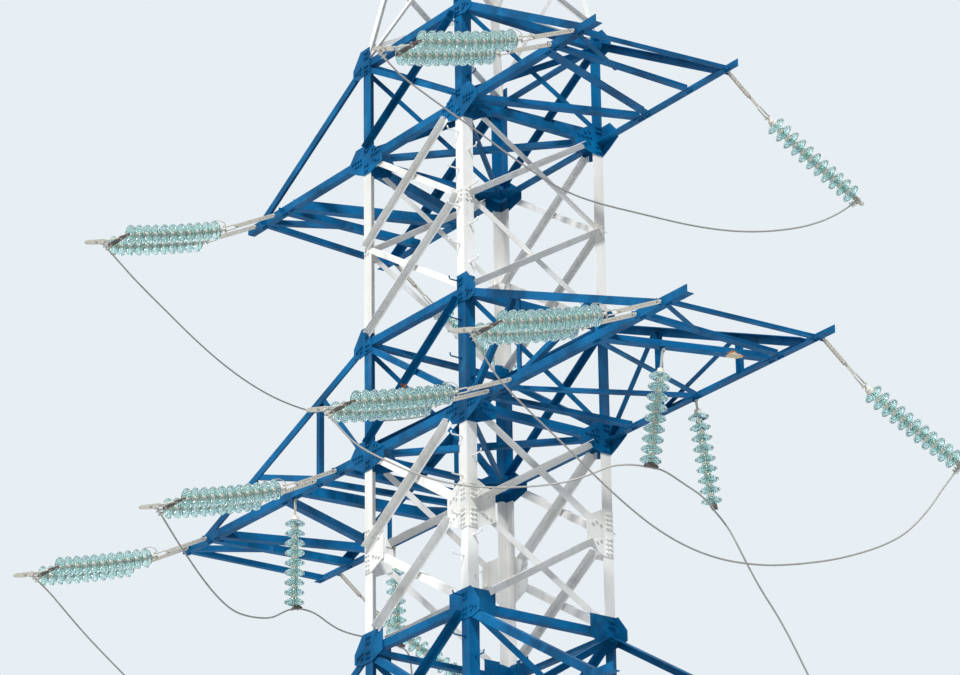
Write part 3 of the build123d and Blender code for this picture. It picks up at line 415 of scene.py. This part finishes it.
class Shape:
    """A mesh in the making, of many small parts, each face with its finish."""

    def __init__(self):
        self.points, self.faces, self.finishes, self.smooth = [], [], [], []

    def add(self, points, loops, finish, smooth=False):
        """Adds points and the faces between them."""
        start = len(self.points)
        self.points += [tuple(point) for point in points]
        self.faces += [[start + index for index in loop] for loop in loops]
        self.finishes += [finish] * len(loops)
        self.smooth += [smooth] * len(loops)

    def lathe(self, start, way, outline, finish, steps=16, hollow=False):
        """A turned form: outline is (radius, distance along). A hollow one closes on itself."""
        side, up, way = axes(way, (1, 0, 0) if abs(Vector(way).normalized().x) < 0.9 else (0, 0, 1))
        points = []
        for radius, along in outline:
            for number in range(steps):
                angle = 2 * math.pi * number / steps
                across = side * math.cos(angle) + up * math.sin(angle)
                points.append(Vector(start) + way * along + across * radius)
        rings = len(outline)
        loops = []
        for ring in range(rings if hollow else rings - 1):
            low, high = ring * steps, (ring + 1) % rings * steps
            for number in range(steps):
                after = (number + 1) % steps
                loops.append([low + number, low + after, high + after, high + number])
        if not hollow:
            loops.append(list(range(steps))[::-1])
            loops.append([(rings - 1) * steps + number for number in range(steps)])
        self.add(points, loops, finish, True)

    def prism(self, origin, side, up, outline, thick, finish):
        """A plate: an outline on two directions, as thick as asked across them."""
        side, up = Vector(side).normalized(), Vector(up).normalized()
        across = side.cross(up).normalized() * thick
        flat = [Vector(origin) + side * u + up * v for u, v in outline]
        count = len(flat)
        loops = [list(range(count))[::-1], [count + number for number in range(count)]]
        for number in range(count):
            after = (number + 1) % count
            loops.append([number, after, count + after, count + number])
        self.add(flat + [point + across for point in flat], loops, finish)

    def tube(self, points, radius, finish, steps=8):
        """A round bar bent along points."""
        points = [Vector(point) for point in points]
        side = axes(points[1] - points[0], (0.31, 0.42, 0.85))[0]
        rings = []
        for number, point in enumerate(points):
            before = points[max(0, number - 1)]
            after = points[min(len(points) - 1, number + 1)]
            side, up, _ = axes(after - before, side)
            for step in range(steps):
                angle = 2 * math.pi * step / steps
                rings.append(point + (side * math.cos(angle) + up * math.sin(angle)) * radius)
        loops = []
        for ring in range(len(points) - 1):
            for step in range(steps):
                after = (step + 1) % steps
                low, high = ring * steps, (ring + 1) * steps
                loops.append([low + step, low + after, high + after, high + step])
        loops.append(list(range(steps))[::-1])
        loops.append([(len(points) - 1) * steps + step for step in range(steps)])
        self.add(rings, loops, finish, True)

    def perforated(self, start, way, up, count, pitch, width, hole, thick, finish):
        """A flat bar with a row of round holes."""
        way, up = Vector(way).normalized(), Vector(up).normalized()
        across = way.cross(up).normalized() * thick
        square = [(1, 0), (1, 1), (0, 1), (-1, 1), (-1, 0), (-1, -1), (0, -1), (1, -1)]
        for cell in range(count):
            middle = Vector(start) + way * (cell + 0.5) * pitch
            rim = [middle + way * (a * pitch / 2) + up * (b * width / 2) for a, b in square]
            ring = []
            for number in range(8):
                angle = math.pi * number / 4
                ring.append(middle + (way * math.cos(angle) + up * math.sin(angle)) * hole)
            points = rim + ring + [point + across for point in rim + ring]
            loops = []
            for number in range(8):
                after = (number + 1) % 8
                loops.append([number, 8 + number, 8 + after, after])
                loops.append([16 + number, 16 + after, 24 + after, 24 + number])
                loops.append([8 + number, 24 + number, 24 + after, 8 + after])
                if number in (1, 2, 5, 6) or (cell == 0 and number in (3, 4)):
                    loops.append([number, after, 16 + after, 16 + number])
                if cell == count - 1 and number in (0, 7):
                    loops.append([number, after, 16 + after, 16 + number])
            self.add(points, loops, finish)

    def bolt(self, point, normal, finish, size=0.017):
        """A washer and a hexagonal head on a surface."""
        side, up, normal = axes(normal, (0.21, 0.97, 0.13) if abs(Vector(normal).y) < 0.9 else (1, 0, 0))
        turn = random.uniform(0, math.pi / 3)
        for steps, radius, low, high in ((10, size * 1.35, 0, 0.004), (6, size, 0.004, 0.004 + size * 0.9)):
            rings = []
            for level in (low, high):
                for step in range(steps):
                    angle = turn + 2 * math.pi * step / steps
                    across = side * math.cos(angle) + up * math.sin(angle)
                    rings.append(Vector(point) + across * radius + normal * level)
            loops = [[steps + step for step in range(steps)]]
            for step in range(steps):
                after = (step + 1) % steps
                loops.append([step, after, steps + after, steps + step])
            self.add(rings, loops, finish)

    def make(self, name, slot, *replaced):
        """Turns it into a piece of the pylon."""
        mesh = bpy.data.meshes.new(name)
        mesh.from_pydata(self.points, [], self.faces)
        used = list(dict.fromkeys(self.finishes))
        for finish in used:
            mesh.materials.append(finish)
        mesh.polygons.foreach_set("material_index", [used.index(finish) for finish in self.finishes])
        mesh.polygons.foreach_set("use_smooth", self.smooth)
        mesh.update()
        piece = bpy.data.objects.new(name, mesh)
        scene.collection.objects.link(piece)
        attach(piece, "root")
        if replaced:
            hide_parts(*replaced)
        return piece


# Paint on the steelwork


def islands(mesh):
    """The faces of each separate solid in a mesh, whose points may be doubled along edges."""
    home, parent = {}, []

    def top(index):
        while parent[index] != index:
            parent[index] = parent[parent[index]]
            index = parent[index]
        return index

    keys = []
    for vertex in mesh.vertices:
        place = tuple(round(value, 4) for value in vertex.co)
        if place not in home:
            home[place] = len(parent)
            parent.append(len(parent))
        keys.append(home[place])
    for face in mesh.polygons:
        first = top(keys[face.vertices[0]])
        for index in face.vertices[1:]:
            parent[top(keys[index])] = first
    groups = {}
    for face in mesh.polygons:
        groups.setdefault(top(keys[face.vertices[0]]), []).append(face.index)
    return groups.values()


def in_band(height):
    """Whether a height is in the blue zone of a crossarm."""
    return any(level - BAND_BELOW < height < TOPS[arm] + BAND_ABOVE for arm, level in LEVELS.items())


def paint(node, *finishes):
    """Gives a CAD node its finishes. With two, each of its solids takes white or blue by its height."""
    mesh = nodes[node].data
    mesh.materials.clear()
    for finish in finishes:
        mesh.materials.append(finish)
    if len(finishes) == 1:
        mesh.polygons.foreach_set("material_index", [0] * len(mesh.polygons))
        return
    for group in islands(mesh):
        heights = [mesh.polygons[index].center.z for index in group]
        chosen = 1 if in_band((min(heights) + max(heights)) / 2) else 0
        for index in group:
            mesh.polygons[index].material_index = chosen


for name in nodes:
    if name.startswith("shaft_bracing"):
        paint(name, white, blue)
    elif "_leg_" in name:
        paint(name, banded)
    elif "crossarm" in name or "arm_joint" in name or name == "plan_bracing":
        paint(name, blue)
    elif name == "base_plates":
        paint(name, steel)
    elif name.startswith(("foot_bracing", "leg_splice", "earth_wire")):
        paint(name, white)

# Jumpers


def route(points, level):
    """Points of a route, measured from a level."""
    return [Vector((x, y, level + rise)) for x, y, rise in points]


routes = {
    "upper_right": (route(UPPER_RIGHT_ROUTE, LEVELS["upper"]), "upper", 0),
    "upper_left": (route(UPPER_LEFT_ROUTE, LEVELS["upper"]), "upper", 1),
    "outer_right": (route(OUTER_RIGHT_ROUTE, LEVELS["middle"]), "middle", 0),
    "outer_left": (route(OUTER_LEFT_ROUTE, LEVELS["middle"]), "middle", 1),
    "inner_right": (
        route(INNER_RIGHT_ROUTE, LEVELS["middle"]) + route(RIGHT_LOWER_END, LEVELS["lower"]), "lower", 0,
    ),
    "inner_left": (
        route(INNER_LEFT_ROUTE, LEVELS["middle"]) + route(LEFT_LOWER_END, LEVELS["lower"]), "lower", 1,
    ),
}


def front_clamp(name):
    """Where a front string's yoke, clamp and tail start, its direction, and the tail's."""
    arm, out, link_slope, tail_start = FRONT_STRINGS[name]
    way = string_way(DISC_SLOPE, -1)
    start = Vector((out, -SHAFT_HALF - LUG_REACH, LEVELS[arm] - LUG_DROP))
    joint = start + string_way(link_slope, -1) * FRONT_LINK
    yoke = joint + way * (TENSION_DISCS * DISC_PITCH - CLEARANCE)
    clamp = yoke + way * (YOKE_LENGTH + YOKE_ROD_REACH)
    tail = clamp + way * tail_start
    return yoke, clamp, way, tail, (routes[name][0][0] - tail).normalized()


def back_clamp(name):
    """Where a back string's clamp and tail start, its direction, and the tail's."""
    points, arm, number = routes[name]
    way = string_way(BACK_DISC_SLOPES[arm], 1)
    start = Vector((BACK_STRINGS[arm][number], SHAFT_HALF + LUG_REACH, LEVELS[arm] - LUG_DROP))
    joint = start + string_way(BACK_LINK_SLOPE, 1) * BACK_LINK
    clamp = joint + way * (TENSION_DISCS * DISC_PITCH - CLEARANCE)
    tail = clamp + way * BACK_TAIL_START
    return start, clamp, way, tail, (points[-1] - tail).normalized()


def jumper(name):
    """A slack wire from the front string to the back string, as one smooth curve."""
    _, _, _, front_tail, front_way = front_clamp(name)
    _, _, _, back_tail, back_way = back_clamp(name)
    start = front_tail + front_way * TAIL_LENGTH
    points = [start] + routes[name][0] + [back_tail + back_way * TAIL_LENGTH]
    curve = bpy.data.curves.new("wire_" + name, "CURVE")
    curve.dimensions = "3D"
    spline = curve.splines.new("NURBS")
    spline.points.add(len(points) - 1)
    for place, point in zip(spline.points, points):
        place.co = (*point, 1)
    spline.order_u = 3
    spline.use_endpoint_u = True
    spline.resolution_u = 6
    curve.bevel_depth = WIRE / 2
    curve.bevel_resolution = 3
    curve.use_fill_caps = True
    curve.materials.append(conductor)
    piece = bpy.data.objects.new("wire_" + name, curve)
    scene.collection.objects.link(piece)
    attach(piece, "root")
    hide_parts("jumper_" + name)


for name in routes:
    jumper(name)

# Insulator strings

CAP = [
    (0.022, -0.004), (0.036, 0.0), (0.040, 0.008), (0.038, 0.018), (0.044, 0.028), (0.048, 0.046),
    (0.052, 0.056), (0.053, 0.064), (0.044, 0.067), (0.020, 0.068),
]
SHELL = [
    (0.050, 0.056), (0.064, 0.058), (0.086, 0.067), (0.107, 0.080), (0.122, 0.092), (0.1275, 0.100),
    (0.1265, 0.107), (0.121, 0.110), (0.113, 0.102), (0.107, 0.098), (0.105, 0.118), (0.101, 0.121),
    (0.096, 0.117), (0.093, 0.092), (0.084, 0.086), (0.082, 0.110), (0.078, 0.113), (0.073, 0.109),
    (0.070, 0.083), (0.060, 0.080), (0.057, 0.102), (0.052, 0.104), (0.046, 0.099), (0.042, 0.074),
]
BALL_PIN = [(0.034, 0.066), (0.030, 0.084), (0.012, 0.092), (0.010, 0.122), (0.017, 0.128), (0.017, 0.134)]


def discs(shape, start, way, count, sag=0.0):
    """A string of glass discs, each with its metal cap and pin. A sag lets its middle hang."""
    length = count * DISC_PITCH
    for number in range(count):
        share = number / count
        place = start + way * (share * length) - Vector((0, 0, 4 * sag * share * (1 - share)))
        lean = way - Vector((0, 0, 4 * sag * (1 - 2 * share - 1 / count) / length))
        shape.lathe(place, lean, CAP, beige, 14)
        shape.lathe(place, lean, SHELL, clear, 28, hollow=True)
        shape.lathe(place, lean, BALL_PIN, beige, 8)


def arch(start, side, out, width, depth, straight):
    """Points of a U: two legs and a half circle at their end."""
    points = [start - side * (width / 2)]
    for number in range(9):
        angle = math.pi * number / 8
        points.append(
            start - side * (math.cos(angle) * width / 2) + out * (straight + math.sin(angle) * depth)
        )
    return points + [start + side * (width / 2)]


def link_set(shape, start, way, length, along):
    """The adjusting links between a lug and the first cap of a strand."""
    side, up, _ = axes(way)
    bolt_out = side * 0.024
    shape.tube([start - bolt_out, start + bolt_out], 0.012, chalky)
    count = FRONT_HOLES if along < 0 else BACK_HOLES
    for offset in (-0.012, 0.007):
        foot = start - way * 0.014 + side * offset
        shape.perforated(foot, way, up, count, HOLE_PITCH, LINK_WIDTH, LINK_HOLE, 0.005, chalky)
    inner, outer, pin = HOLE_PITCH * count - 0.035, length - 0.220, length - 0.055
    middle = start + way * inner
    for offset in (-0.030, 0.025):
        shape.bolt(middle + side * offset * 0.4, side * math.copysign(1, offset), chalky, 0.013)
    outline = [
        (inner, -0.022), (outer - 0.02, -0.022), (outer, -0.012), (outer, 0.012), (outer - 0.02, 0.022),
        (inner, 0.022),
    ]
    shape.prism(start + side * 0.0035, way, up, outline, 0.007, chalky)
    loop = arch(start + way * pin, up, -way, 0.050, 0.025, 0.150)
    shape.tube(loop, 0.009, chalky)
    shape.tube([start + way * pin - up * 0.034, start + way * pin + up * 0.034], 0.011, chalky)
    for end in (-0.034, 0.034):
        shape.bolt(start + way * pin + up * end, up * math.copysign(1, end), chalky, 0.011)
    socket = [(0.010, 0.0), (0.018, 0.008), (0.019, 0.030), (0.013, 0.040), (0.013, 0.064), (0.019, 0.070)]
    shape.lathe(start + way * (pin - 0.017), way, socket, chalky, 10)
    if along < 0:
        horn = [(-0.10, 0.02), (-0.08, 0.09), (-0.02, 0.13), (0.06, 0.145), (0.11, 0.135)]
        shape.tube([start + way * (length + on) + up * rise for on, rise in horn], 0.005, chalky, 6)


def clamp_body(shape, start, way, length):
    """The body of a tension clamp, from its eye to where the line wire leaves it."""
    side, up, _ = axes(way)
    up = up if up.z > 0 else -up
    outline = [
        (0, -0.022), (0.03, -0.030), (length * 0.55, -0.034), (length * 0.9, -0.026), (length, -0.012),
        (length, 0.010), (length * 0.9, 0.018), (0.03, 0.022), (0, 0.016),
    ]
    hand = 1 if way.cross(up).dot(side) > 0 else -1
    shape.prism(start - side * 0.018, way, up, outline, 0.036 * hand, chalky)
    for place in (0.016, length * 0.5):
        spot = start + way * place
        shape.tube([spot - side * 0.030, spot + side * 0.030], 0.011, dark)
        for face in (-1, 1):
            shape.bolt(spot + side * (face * 0.028), side * face, chalky, 0.012)


def tail_rod(shape, start, way):
    """The tail between a clamp and its jumper: a boat with a keeper and a row of U-bolts."""
    side, up, _ = axes(way)
    up = up if up.z > 0 else -up
    outline = [
        (0.018, 0.0), (0.017, 0.02), (0.017, 0.14), (0.013, 0.16), (WIRE / 2, 0.172),
        (WIRE / 2, TAIL_LENGTH + 0.004),
    ]
    shape.lathe(start, way, outline, steel, 12)
    for number in range(3):
        place = start + way * (0.030 + 0.048 * number)
        shape.tube(arch(place + up * 0.032, side, -up, 0.048, 0.020, 0.044), 0.005, chalky, 6)
        keeper = [(0, 0), (0.060, 0), (0.060, 0.020), (0, 0.020)]
        shape.prism(place + up * 0.016 - side * 0.030 - way * 0.010, side, way, keeper, 0.006, chalky)
        for offset in (-0.024, 0.024):
            shape.bolt(place + up * 0.022 + side * offset, up, chalky, 0.009)


def front_string(name):
    """A pair of strands with their yoke and clamp."""
    shape = Shape()
    arm, out, link_slope, _ = FRONT_STRINGS[name]
    yoke, clamp, way, tail, tail_way = front_clamp(name)
    link_way = string_way(link_slope, -1)
    for hand in (-1, 1):
        start = Vector((out + hand * STRAND_SPACING / 2, -SHAFT_HALF - LUG_REACH, LEVELS[arm] - LUG_DROP))
        link_set(shape, start, link_way, FRONT_LINK, -1)
        joint = start + link_way * FRONT_LINK
        end = joint + way * (TENSION_DISCS * DISC_PITCH)
        end.x = out + hand * YOKE_SPACING / 2
        discs(shape, joint, (end - joint).normalized(), TENSION_DISCS, STRING_SAG)
    side, up, _ = axes(way)
    end = YOKE_LENGTH
    outline = [
        (-YOKE_HALF, 0.012), (-YOKE_HALF + 0.02, 0), (YOKE_HALF - 0.02, 0), (YOKE_HALF, 0.012),
        (YOKE_HALF, 0.048), (YOKE_ROD_SPREAD + 0.03, end), (-YOKE_ROD_SPREAD - 0.03, end),
        (-YOKE_HALF, 0.048),
    ]
    shape.prism(yoke - side.cross(way) * (YOKE_THICK / 2), side, way, outline, YOKE_THICK, dark)
    for place in (-YOKE_SPACING / 2, YOKE_SPACING / 2):
        for face in (-1, 1):
            spot = yoke + side * place + way * 0.030 + up * (face * YOKE_THICK / 2)
            shape.bolt(spot, up * face, chalky, 0.016)
    for place in (-YOKE_ROD_SPREAD, YOKE_ROD_SPREAD):
        foot = yoke + way * (YOKE_LENGTH - 0.025) + side * place
        middle = foot + (clamp - foot) * 0.5
        shape.tube([foot, middle, clamp + way * 0.012 + side * place * 0.12], 0.011, chalky)
        for face in (-1, 1):
            shape.bolt(foot + up * (face * YOKE_THICK / 2), up * face, chalky, 0.014)
    clamp_body(shape, clamp, way, CLAMP_LENGTH)
    tail_rod(shape, tail, tail_way)
    shape.make("front_string_" + name, "insulator_glass", "front_strings_" + name)


for name in FRONT_STRINGS:
    front_string(name)


def back_strings(arm):
    """The two single strands behind a crossarm."""
    shape = Shape()
    for name, (_, place, _) in routes.items():
        if place == arm:
            start, clamp, way, tail, tail_way = back_clamp(name)
            link_way = string_way(BACK_LINK_SLOPE, 1)
            link_set(shape, start, link_way, BACK_LINK, 1)
            discs(shape, start + link_way * BACK_LINK, way, TENSION_DISCS, STRING_SAG)
            clamp_body(shape, clamp, way, BACK_CLAMP_LENGTH)
            tail_rod(shape, tail, tail_way)
    shape.make("back_string_" + arm, "insulator_glass", "back_strings_" + arm)


for arm in LEVELS:
    back_strings(arm)


def support_strings():
    """The strings that hold up the inner jumpers, each with its saddle on the wire."""
    shape = Shape()
    for name, strings in SUPPORTS.items():
        points = routes[name][0]
        for number, (x, y), count in strings:
            before, after = points[number], points[number + 1]
            wire_way = (after - before).normalized()
            up = (Vector((0, 0, 1)) - wire_way * wire_way.z).normalized()
            seat = (before + after) / 2 + up * SADDLE_SEAT
            foot = seat + up * (SADDLE_HEIGHT - CLEARANCE)
            head = Vector((x + HANGER_OFFSET, y, LEVELS["middle"] - HANGER_DROP + HANGER_LAP))
            way = (foot - head).normalized()
            disc_start = foot - way * (count * DISC_PITCH)
            reach = (disc_start - head).length
            side, across, _ = axes(way)
            hole = head + way * (HANGER_LAP / 2)
            shape.tube([hole - side * HANGER_OFFSET * 0.9, hole + side * 0.014], 0.010, chalky)
            shape.bolt(hole + side * 0.012, side, chalky, 0.014)
            outline = [(0.002, -0.018), (reach, -0.014), (reach, 0.014), (0.002, 0.018)]
            shape.prism(head + side * 0.004, way, across, outline, 0.008, chalky)
            discs(shape, disc_start, way, count)
            beam = wire_way.cross(up)
            # The boat is twice as long as the solid saddle in the frame
            half = SADDLE_LENGTH
            boat = [
                (-half, -0.012), (half, -0.012), (half * 0.9, 0.002), (half * 0.2, 0.034),
                (-half * 0.2, 0.034), (-half * 0.9, 0.002),
            ]
            shape.prism(seat + beam * 0.018, wire_way, up, boat, 0.036, dark)
            shape.tube([foot - up * 0.030, foot], 0.015, chalky)
            for end in (-0.6, 0.6):
                place = seat + wire_way * (half * end)
                shape.tube(arch(place + up * 0.012, beam, -up, 0.034, 0.014, 0.026), 0.004, chalky, 6)
    shape.make("support_string_details", "insulator_glass", "support_strings")


support_strings()

# Bolts


def on_face(face, across, height, depth=0.0):
    """A point on a face, across from its middle line and at a height, this far behind its surface."""
    normal, sideways = faces[face]
    return normal * (half_width(height) - depth) + sideways * across + Vector((0, 0, height))


def row(shape, face, spots, depth, finish, size=0.017):
    """Bolts at spots of a face, given as (across, height)."""
    for across, height in spots:
        shape.bolt(on_face(face, across, height, depth), faces[face][0], finish, size)


PLATE_ROWS = {
    "arm": [
        (-0.05, -0.17), (-0.10, -0.17), (-0.05, -0.10), (-0.10, -0.10), (-0.05, 0.10), (-0.10, 0.10),
        (-0.05, 0.16), (-0.10, 0.16), (-0.20, 0.0), (-0.26, 0.0), (-0.32, 0.0), (-0.38, 0.0),
        (-0.22, -0.07), (-0.28, -0.10), (-0.34, -0.12), (-0.22, 0.08), (-0.28, 0.05),
    ],
    "arm_out": [
        (0.05, 0.02), (0.11, 0.02), (0.17, 0.02), (0.23, 0.02), (0.05, -0.04), (0.11, -0.04), (0.17, -0.04),
    ],
    "top": [
        (-0.05, 0.13), (-0.10, 0.13), (-0.05, 0.06), (-0.10, 0.06), (-0.05, -0.06), (-0.10, -0.06),
        (-0.05, -0.12), (-0.10, -0.12),
    ],
    "top_out": [(0.05, -0.05), (0.10, -0.07), (0.15, -0.09), (0.06, -0.11)],
    "splice": [
        (-0.05, 0.25), (-0.10, 0.25), (-0.05, 0.19), (-0.10, 0.19), (-0.05, 0.13), (-0.10, 0.13),
        (-0.05, 0.07), (-0.10, 0.07), (-0.05, -0.07), (-0.10, -0.07), (-0.05, -0.13), (-0.10, -0.13),
        (-0.05, -0.19), (-0.10, -0.19), (-0.05, -0.25), (-0.10, -0.25), (-0.20, 0.10), (-0.26, 0.13),
        (-0.20, -0.10), (-0.26, -0.13), (-0.32, -0.15), (-0.32, 0.10),
    ],
}


def plate_bolts():
    """Bolts on the joint plates, the splices and where the bars are fastened."""
    shape = Shape()
    for face in faces:
        for side in (-1, 1):
            def placed(key, height, shift=0.0):
                return [
                    (side * (SHAFT_HALF + across + shift), height + rise) for across, rise in PLATE_ROWS[key]
                ]
            for arm, level in LEVELS.items():
                row(shape, face, placed("arm", level), -GUSSET, blue)
                row(shape, face, placed("top", TOPS[arm]), -GUSSET, blue)
                if face in ("front", "back"):
                    row(shape, face, placed("arm_out", level), -GUSSET, blue)
                    row(shape, face, placed("top_out", TOPS[arm]), -GUSSET, blue)
            row(shape, face, placed("splice", SPLICE), -GUSSET, white)
            for height in (MIDDLE_NODE - 0.06, MIDDLE_NODE, MIDDLE_NODE + 0.06):
                spots = [(side * (SHAFT_HALF - inwards), height) for inwards in (0.04, 0.10)]
                row(shape, face, spots, 0, white)
            for height in FOOT_LEVELS:
                for rise in (-0.07, 0, 0.07):
                    across = side * (half_width(height) - 0.06)
                    row(shape, face, [(across, height + rise)], 0, white)
    return shape


def crossarm_bolts(shape):
    """Bolts in rows along the chords of the crossarms, where the bars of their bottoms end."""
    bars = {
        ("lower", 1): (1.2, 1.94, 2.8, 2.08, 2.96, 2.91, 3.45, 3.64),
        ("middle", 1): (1.44, 1.62, 1.77, 2.83, 3.6, 2.87, 3.62, 4.24, 4.47, 4.4, 4.95, 5.05),
        ("middle", -1): (1.65, 1.6, 2.14, 1.86, 2.6, 2.45, 2.95, 3.85, 4.56, 3.9, 4.72, 4.56, 5.26, 5.23),
    }
    for arm, level in LEVELS.items():
        for side in (-1, 1):
            ends = bars.get((arm, side), bars["lower", 1])
            for number, reach in enumerate(ends):
                y = (-1 if number % 2 == 0 else 1) * (SHAFT_HALF - 0.045)
                for step in (-0.03, 0.03):
                    point = Vector((side * (reach + step), y, level - CHORD / 2))
                    shape.bolt(point, (0, 0, -1), blue, 0.016)
    return shape


crossarm_bolts(plate_bolts()).make("joint_bolts", "blue_paint")


STEP_START, STEP_SPACING, STEP_REACH = 2.6, 0.25, 0.150


def step_bolts():
    """Hooked climbing steps, by turns on the two flanges of the front right leg."""
    shape = Shape()
    height, flange = STEP_START, 0
    while height < TOPS["upper"] - 0.1:
        half = half_width(height)
        finish = blue if in_band(height) else white
        normal = Vector((0, -1, 0)) if flange == 0 else Vector((1, 0, 0))
        inwards = Vector((-1, 0, 0)) if flange == 0 else Vector((0, 1, 0))
        foot = Vector((half, -half, height)) + inwards * 0.085
        tip = foot + normal * STEP_REACH
        shape.tube(
            [foot, foot + normal * 0.07, tip, tip + normal * 0.012 + Vector((0, 0, 0.008)),
             tip + normal * 0.018 + Vector((0, 0, 0.022)), tip + normal * 0.018 + Vector((0, 0, 0.040))],
            0.009, finish,
        )
        shape.bolt(foot, normal, finish, 0.015)
        height += STEP_SPACING
        flange = 1 - flange
    shape.make("step_bolts", "white_paint")


step_bolts()


def anchor_bolts():
    """Threaded anchors and nuts through the base plates."""
    shape = Shape()
    middle, spacing, top = BASE_HALF - 0.090, 0.160, 0.040
    for side_x in (-1, 1):
        for side_y in (-1, 1):
            for step_x in (-spacing, spacing):
                for step_y in (-spacing, spacing):
                    spot = Vector((side_x * middle + step_x, side_y * middle + step_y, top))
                    shape.bolt(spot, (0, 0, 1), steel, 0.036)
                    shape.tube([spot - Vector((0, 0, 0.038)), spot + Vector((0, 0, 0.085))], 0.018, steel, 10)
    shape.make("anchor_bolts", "galvanised_steel")


anchor_bolts()

# Camera, light and floor


def camera():
    """The camera at the photograph's place and angle."""
    azimuth, elevation, roll = (
        math.radians(value) for value in (CAMERA_AZIMUTH, CAMERA_ELEVATION, CAMERA_ROLL)
    )
    look = Vector((
        math.sin(azimuth) * math.cos(elevation), math.cos(azimuth) * math.cos(elevation), math.sin(elevation),
    ))
    level = Vector((math.cos(azimuth), -math.sin(azimuth), 0))
    up = level.cross(look)
    right = level * math.cos(roll) + up * math.sin(roll)
    up = up * math.cos(roll) - level * math.sin(roll)
    data = bpy.data.cameras.new("camera")
    data.sensor_width = 36
    data.lens = CAMERA_LENS
    data.clip_end = 500
    lens = bpy.data.objects.new("camera", data)
    scene.collection.objects.link(lens)
    columns = (right, up, -look)
    lens.matrix_world = Matrix(
        [[column[index] for column in columns] + [CAMERA_PLACE[index]] for index in range(3)] + [[0, 0, 0, 1]]
    )
    scene.camera = lens


def sun(name, azimuth, elevation, strength, spread):
    """A sun that shines from an azimuth and elevation, in degrees."""
    data = bpy.data.lights.new(name, "SUN")
    data.energy = strength
    data.angle = math.radians(spread)
    lamp = bpy.data.objects.new(name, data)
    scene.collection.objects.link(lamp)
    azimuth, elevation = math.radians(azimuth), math.radians(elevation)
    source = Vector((
        math.sin(azimuth) * math.cos(elevation), math.cos(azimuth) * math.cos(elevation), math.sin(elevation),
    ))
    lamp.rotation_euler = source.to_track_quat("Z", "Y").to_euler()


def background():
    """A pale world that gives a soft even light, and a plain pale floor."""
    world = bpy.data.worlds.new("studio")
    scene.world = world
    world.use_nodes = True
    tree = world.node_tree
    tree.nodes.clear()
    output = tree.nodes.new("ShaderNodeOutputWorld")
    seen, light = tree.nodes.new("ShaderNodeBackground"), tree.nodes.new("ShaderNodeBackground")
    seen.inputs["Color"].default_value = (0.80, 0.86, 0.90, 1)
    seen.inputs["Strength"].default_value = 1.0
    light.inputs["Color"].default_value = (0.82, 0.90, 1.0, 1)
    light.inputs["Strength"].default_value = 0.36
    rays = tree.nodes.new("ShaderNodeLightPath")
    either = rays.outputs["Is Camera Ray"]
    for name in ("Is Glossy Ray", "Is Transmission Ray"):
        node = tree.nodes.new("ShaderNodeMath")
        node.operation = "MAXIMUM"
        tree.links.new(either, node.inputs[0])
        tree.links.new(rays.outputs[name], node.inputs[1])
        either = node.outputs[0]
    mixed = tree.nodes.new("ShaderNodeMixShader")
    tree.links.new(either, mixed.inputs[0])
    tree.links.new(light.outputs[0], mixed.inputs[1])
    tree.links.new(seen.outputs[0], mixed.inputs[2])
    tree.links.new(mixed.outputs[0], output.inputs["Surface"])
    half = 60
    mesh = bpy.data.meshes.new("floor")
    corners = [(-half, -half, 0), (half, -half, 0), (half, half, 0), (-half, half, 0)]
    mesh.from_pydata(corners, [], [(0, 1, 2, 3)])
    finish = Finish("floor")
    mesh.materials.append(finish.done((0.60, 0.62, 0.64), 0.9))
    floor = bpy.data.objects.new("floor", mesh)
    scene.collection.objects.link(floor)


camera()
sun("key", 140, 50, 4.0, 8.0)
sun("fill", -160, 35, 0.5, 40)
background()
scene.view_settings.view_transform = "Standard"
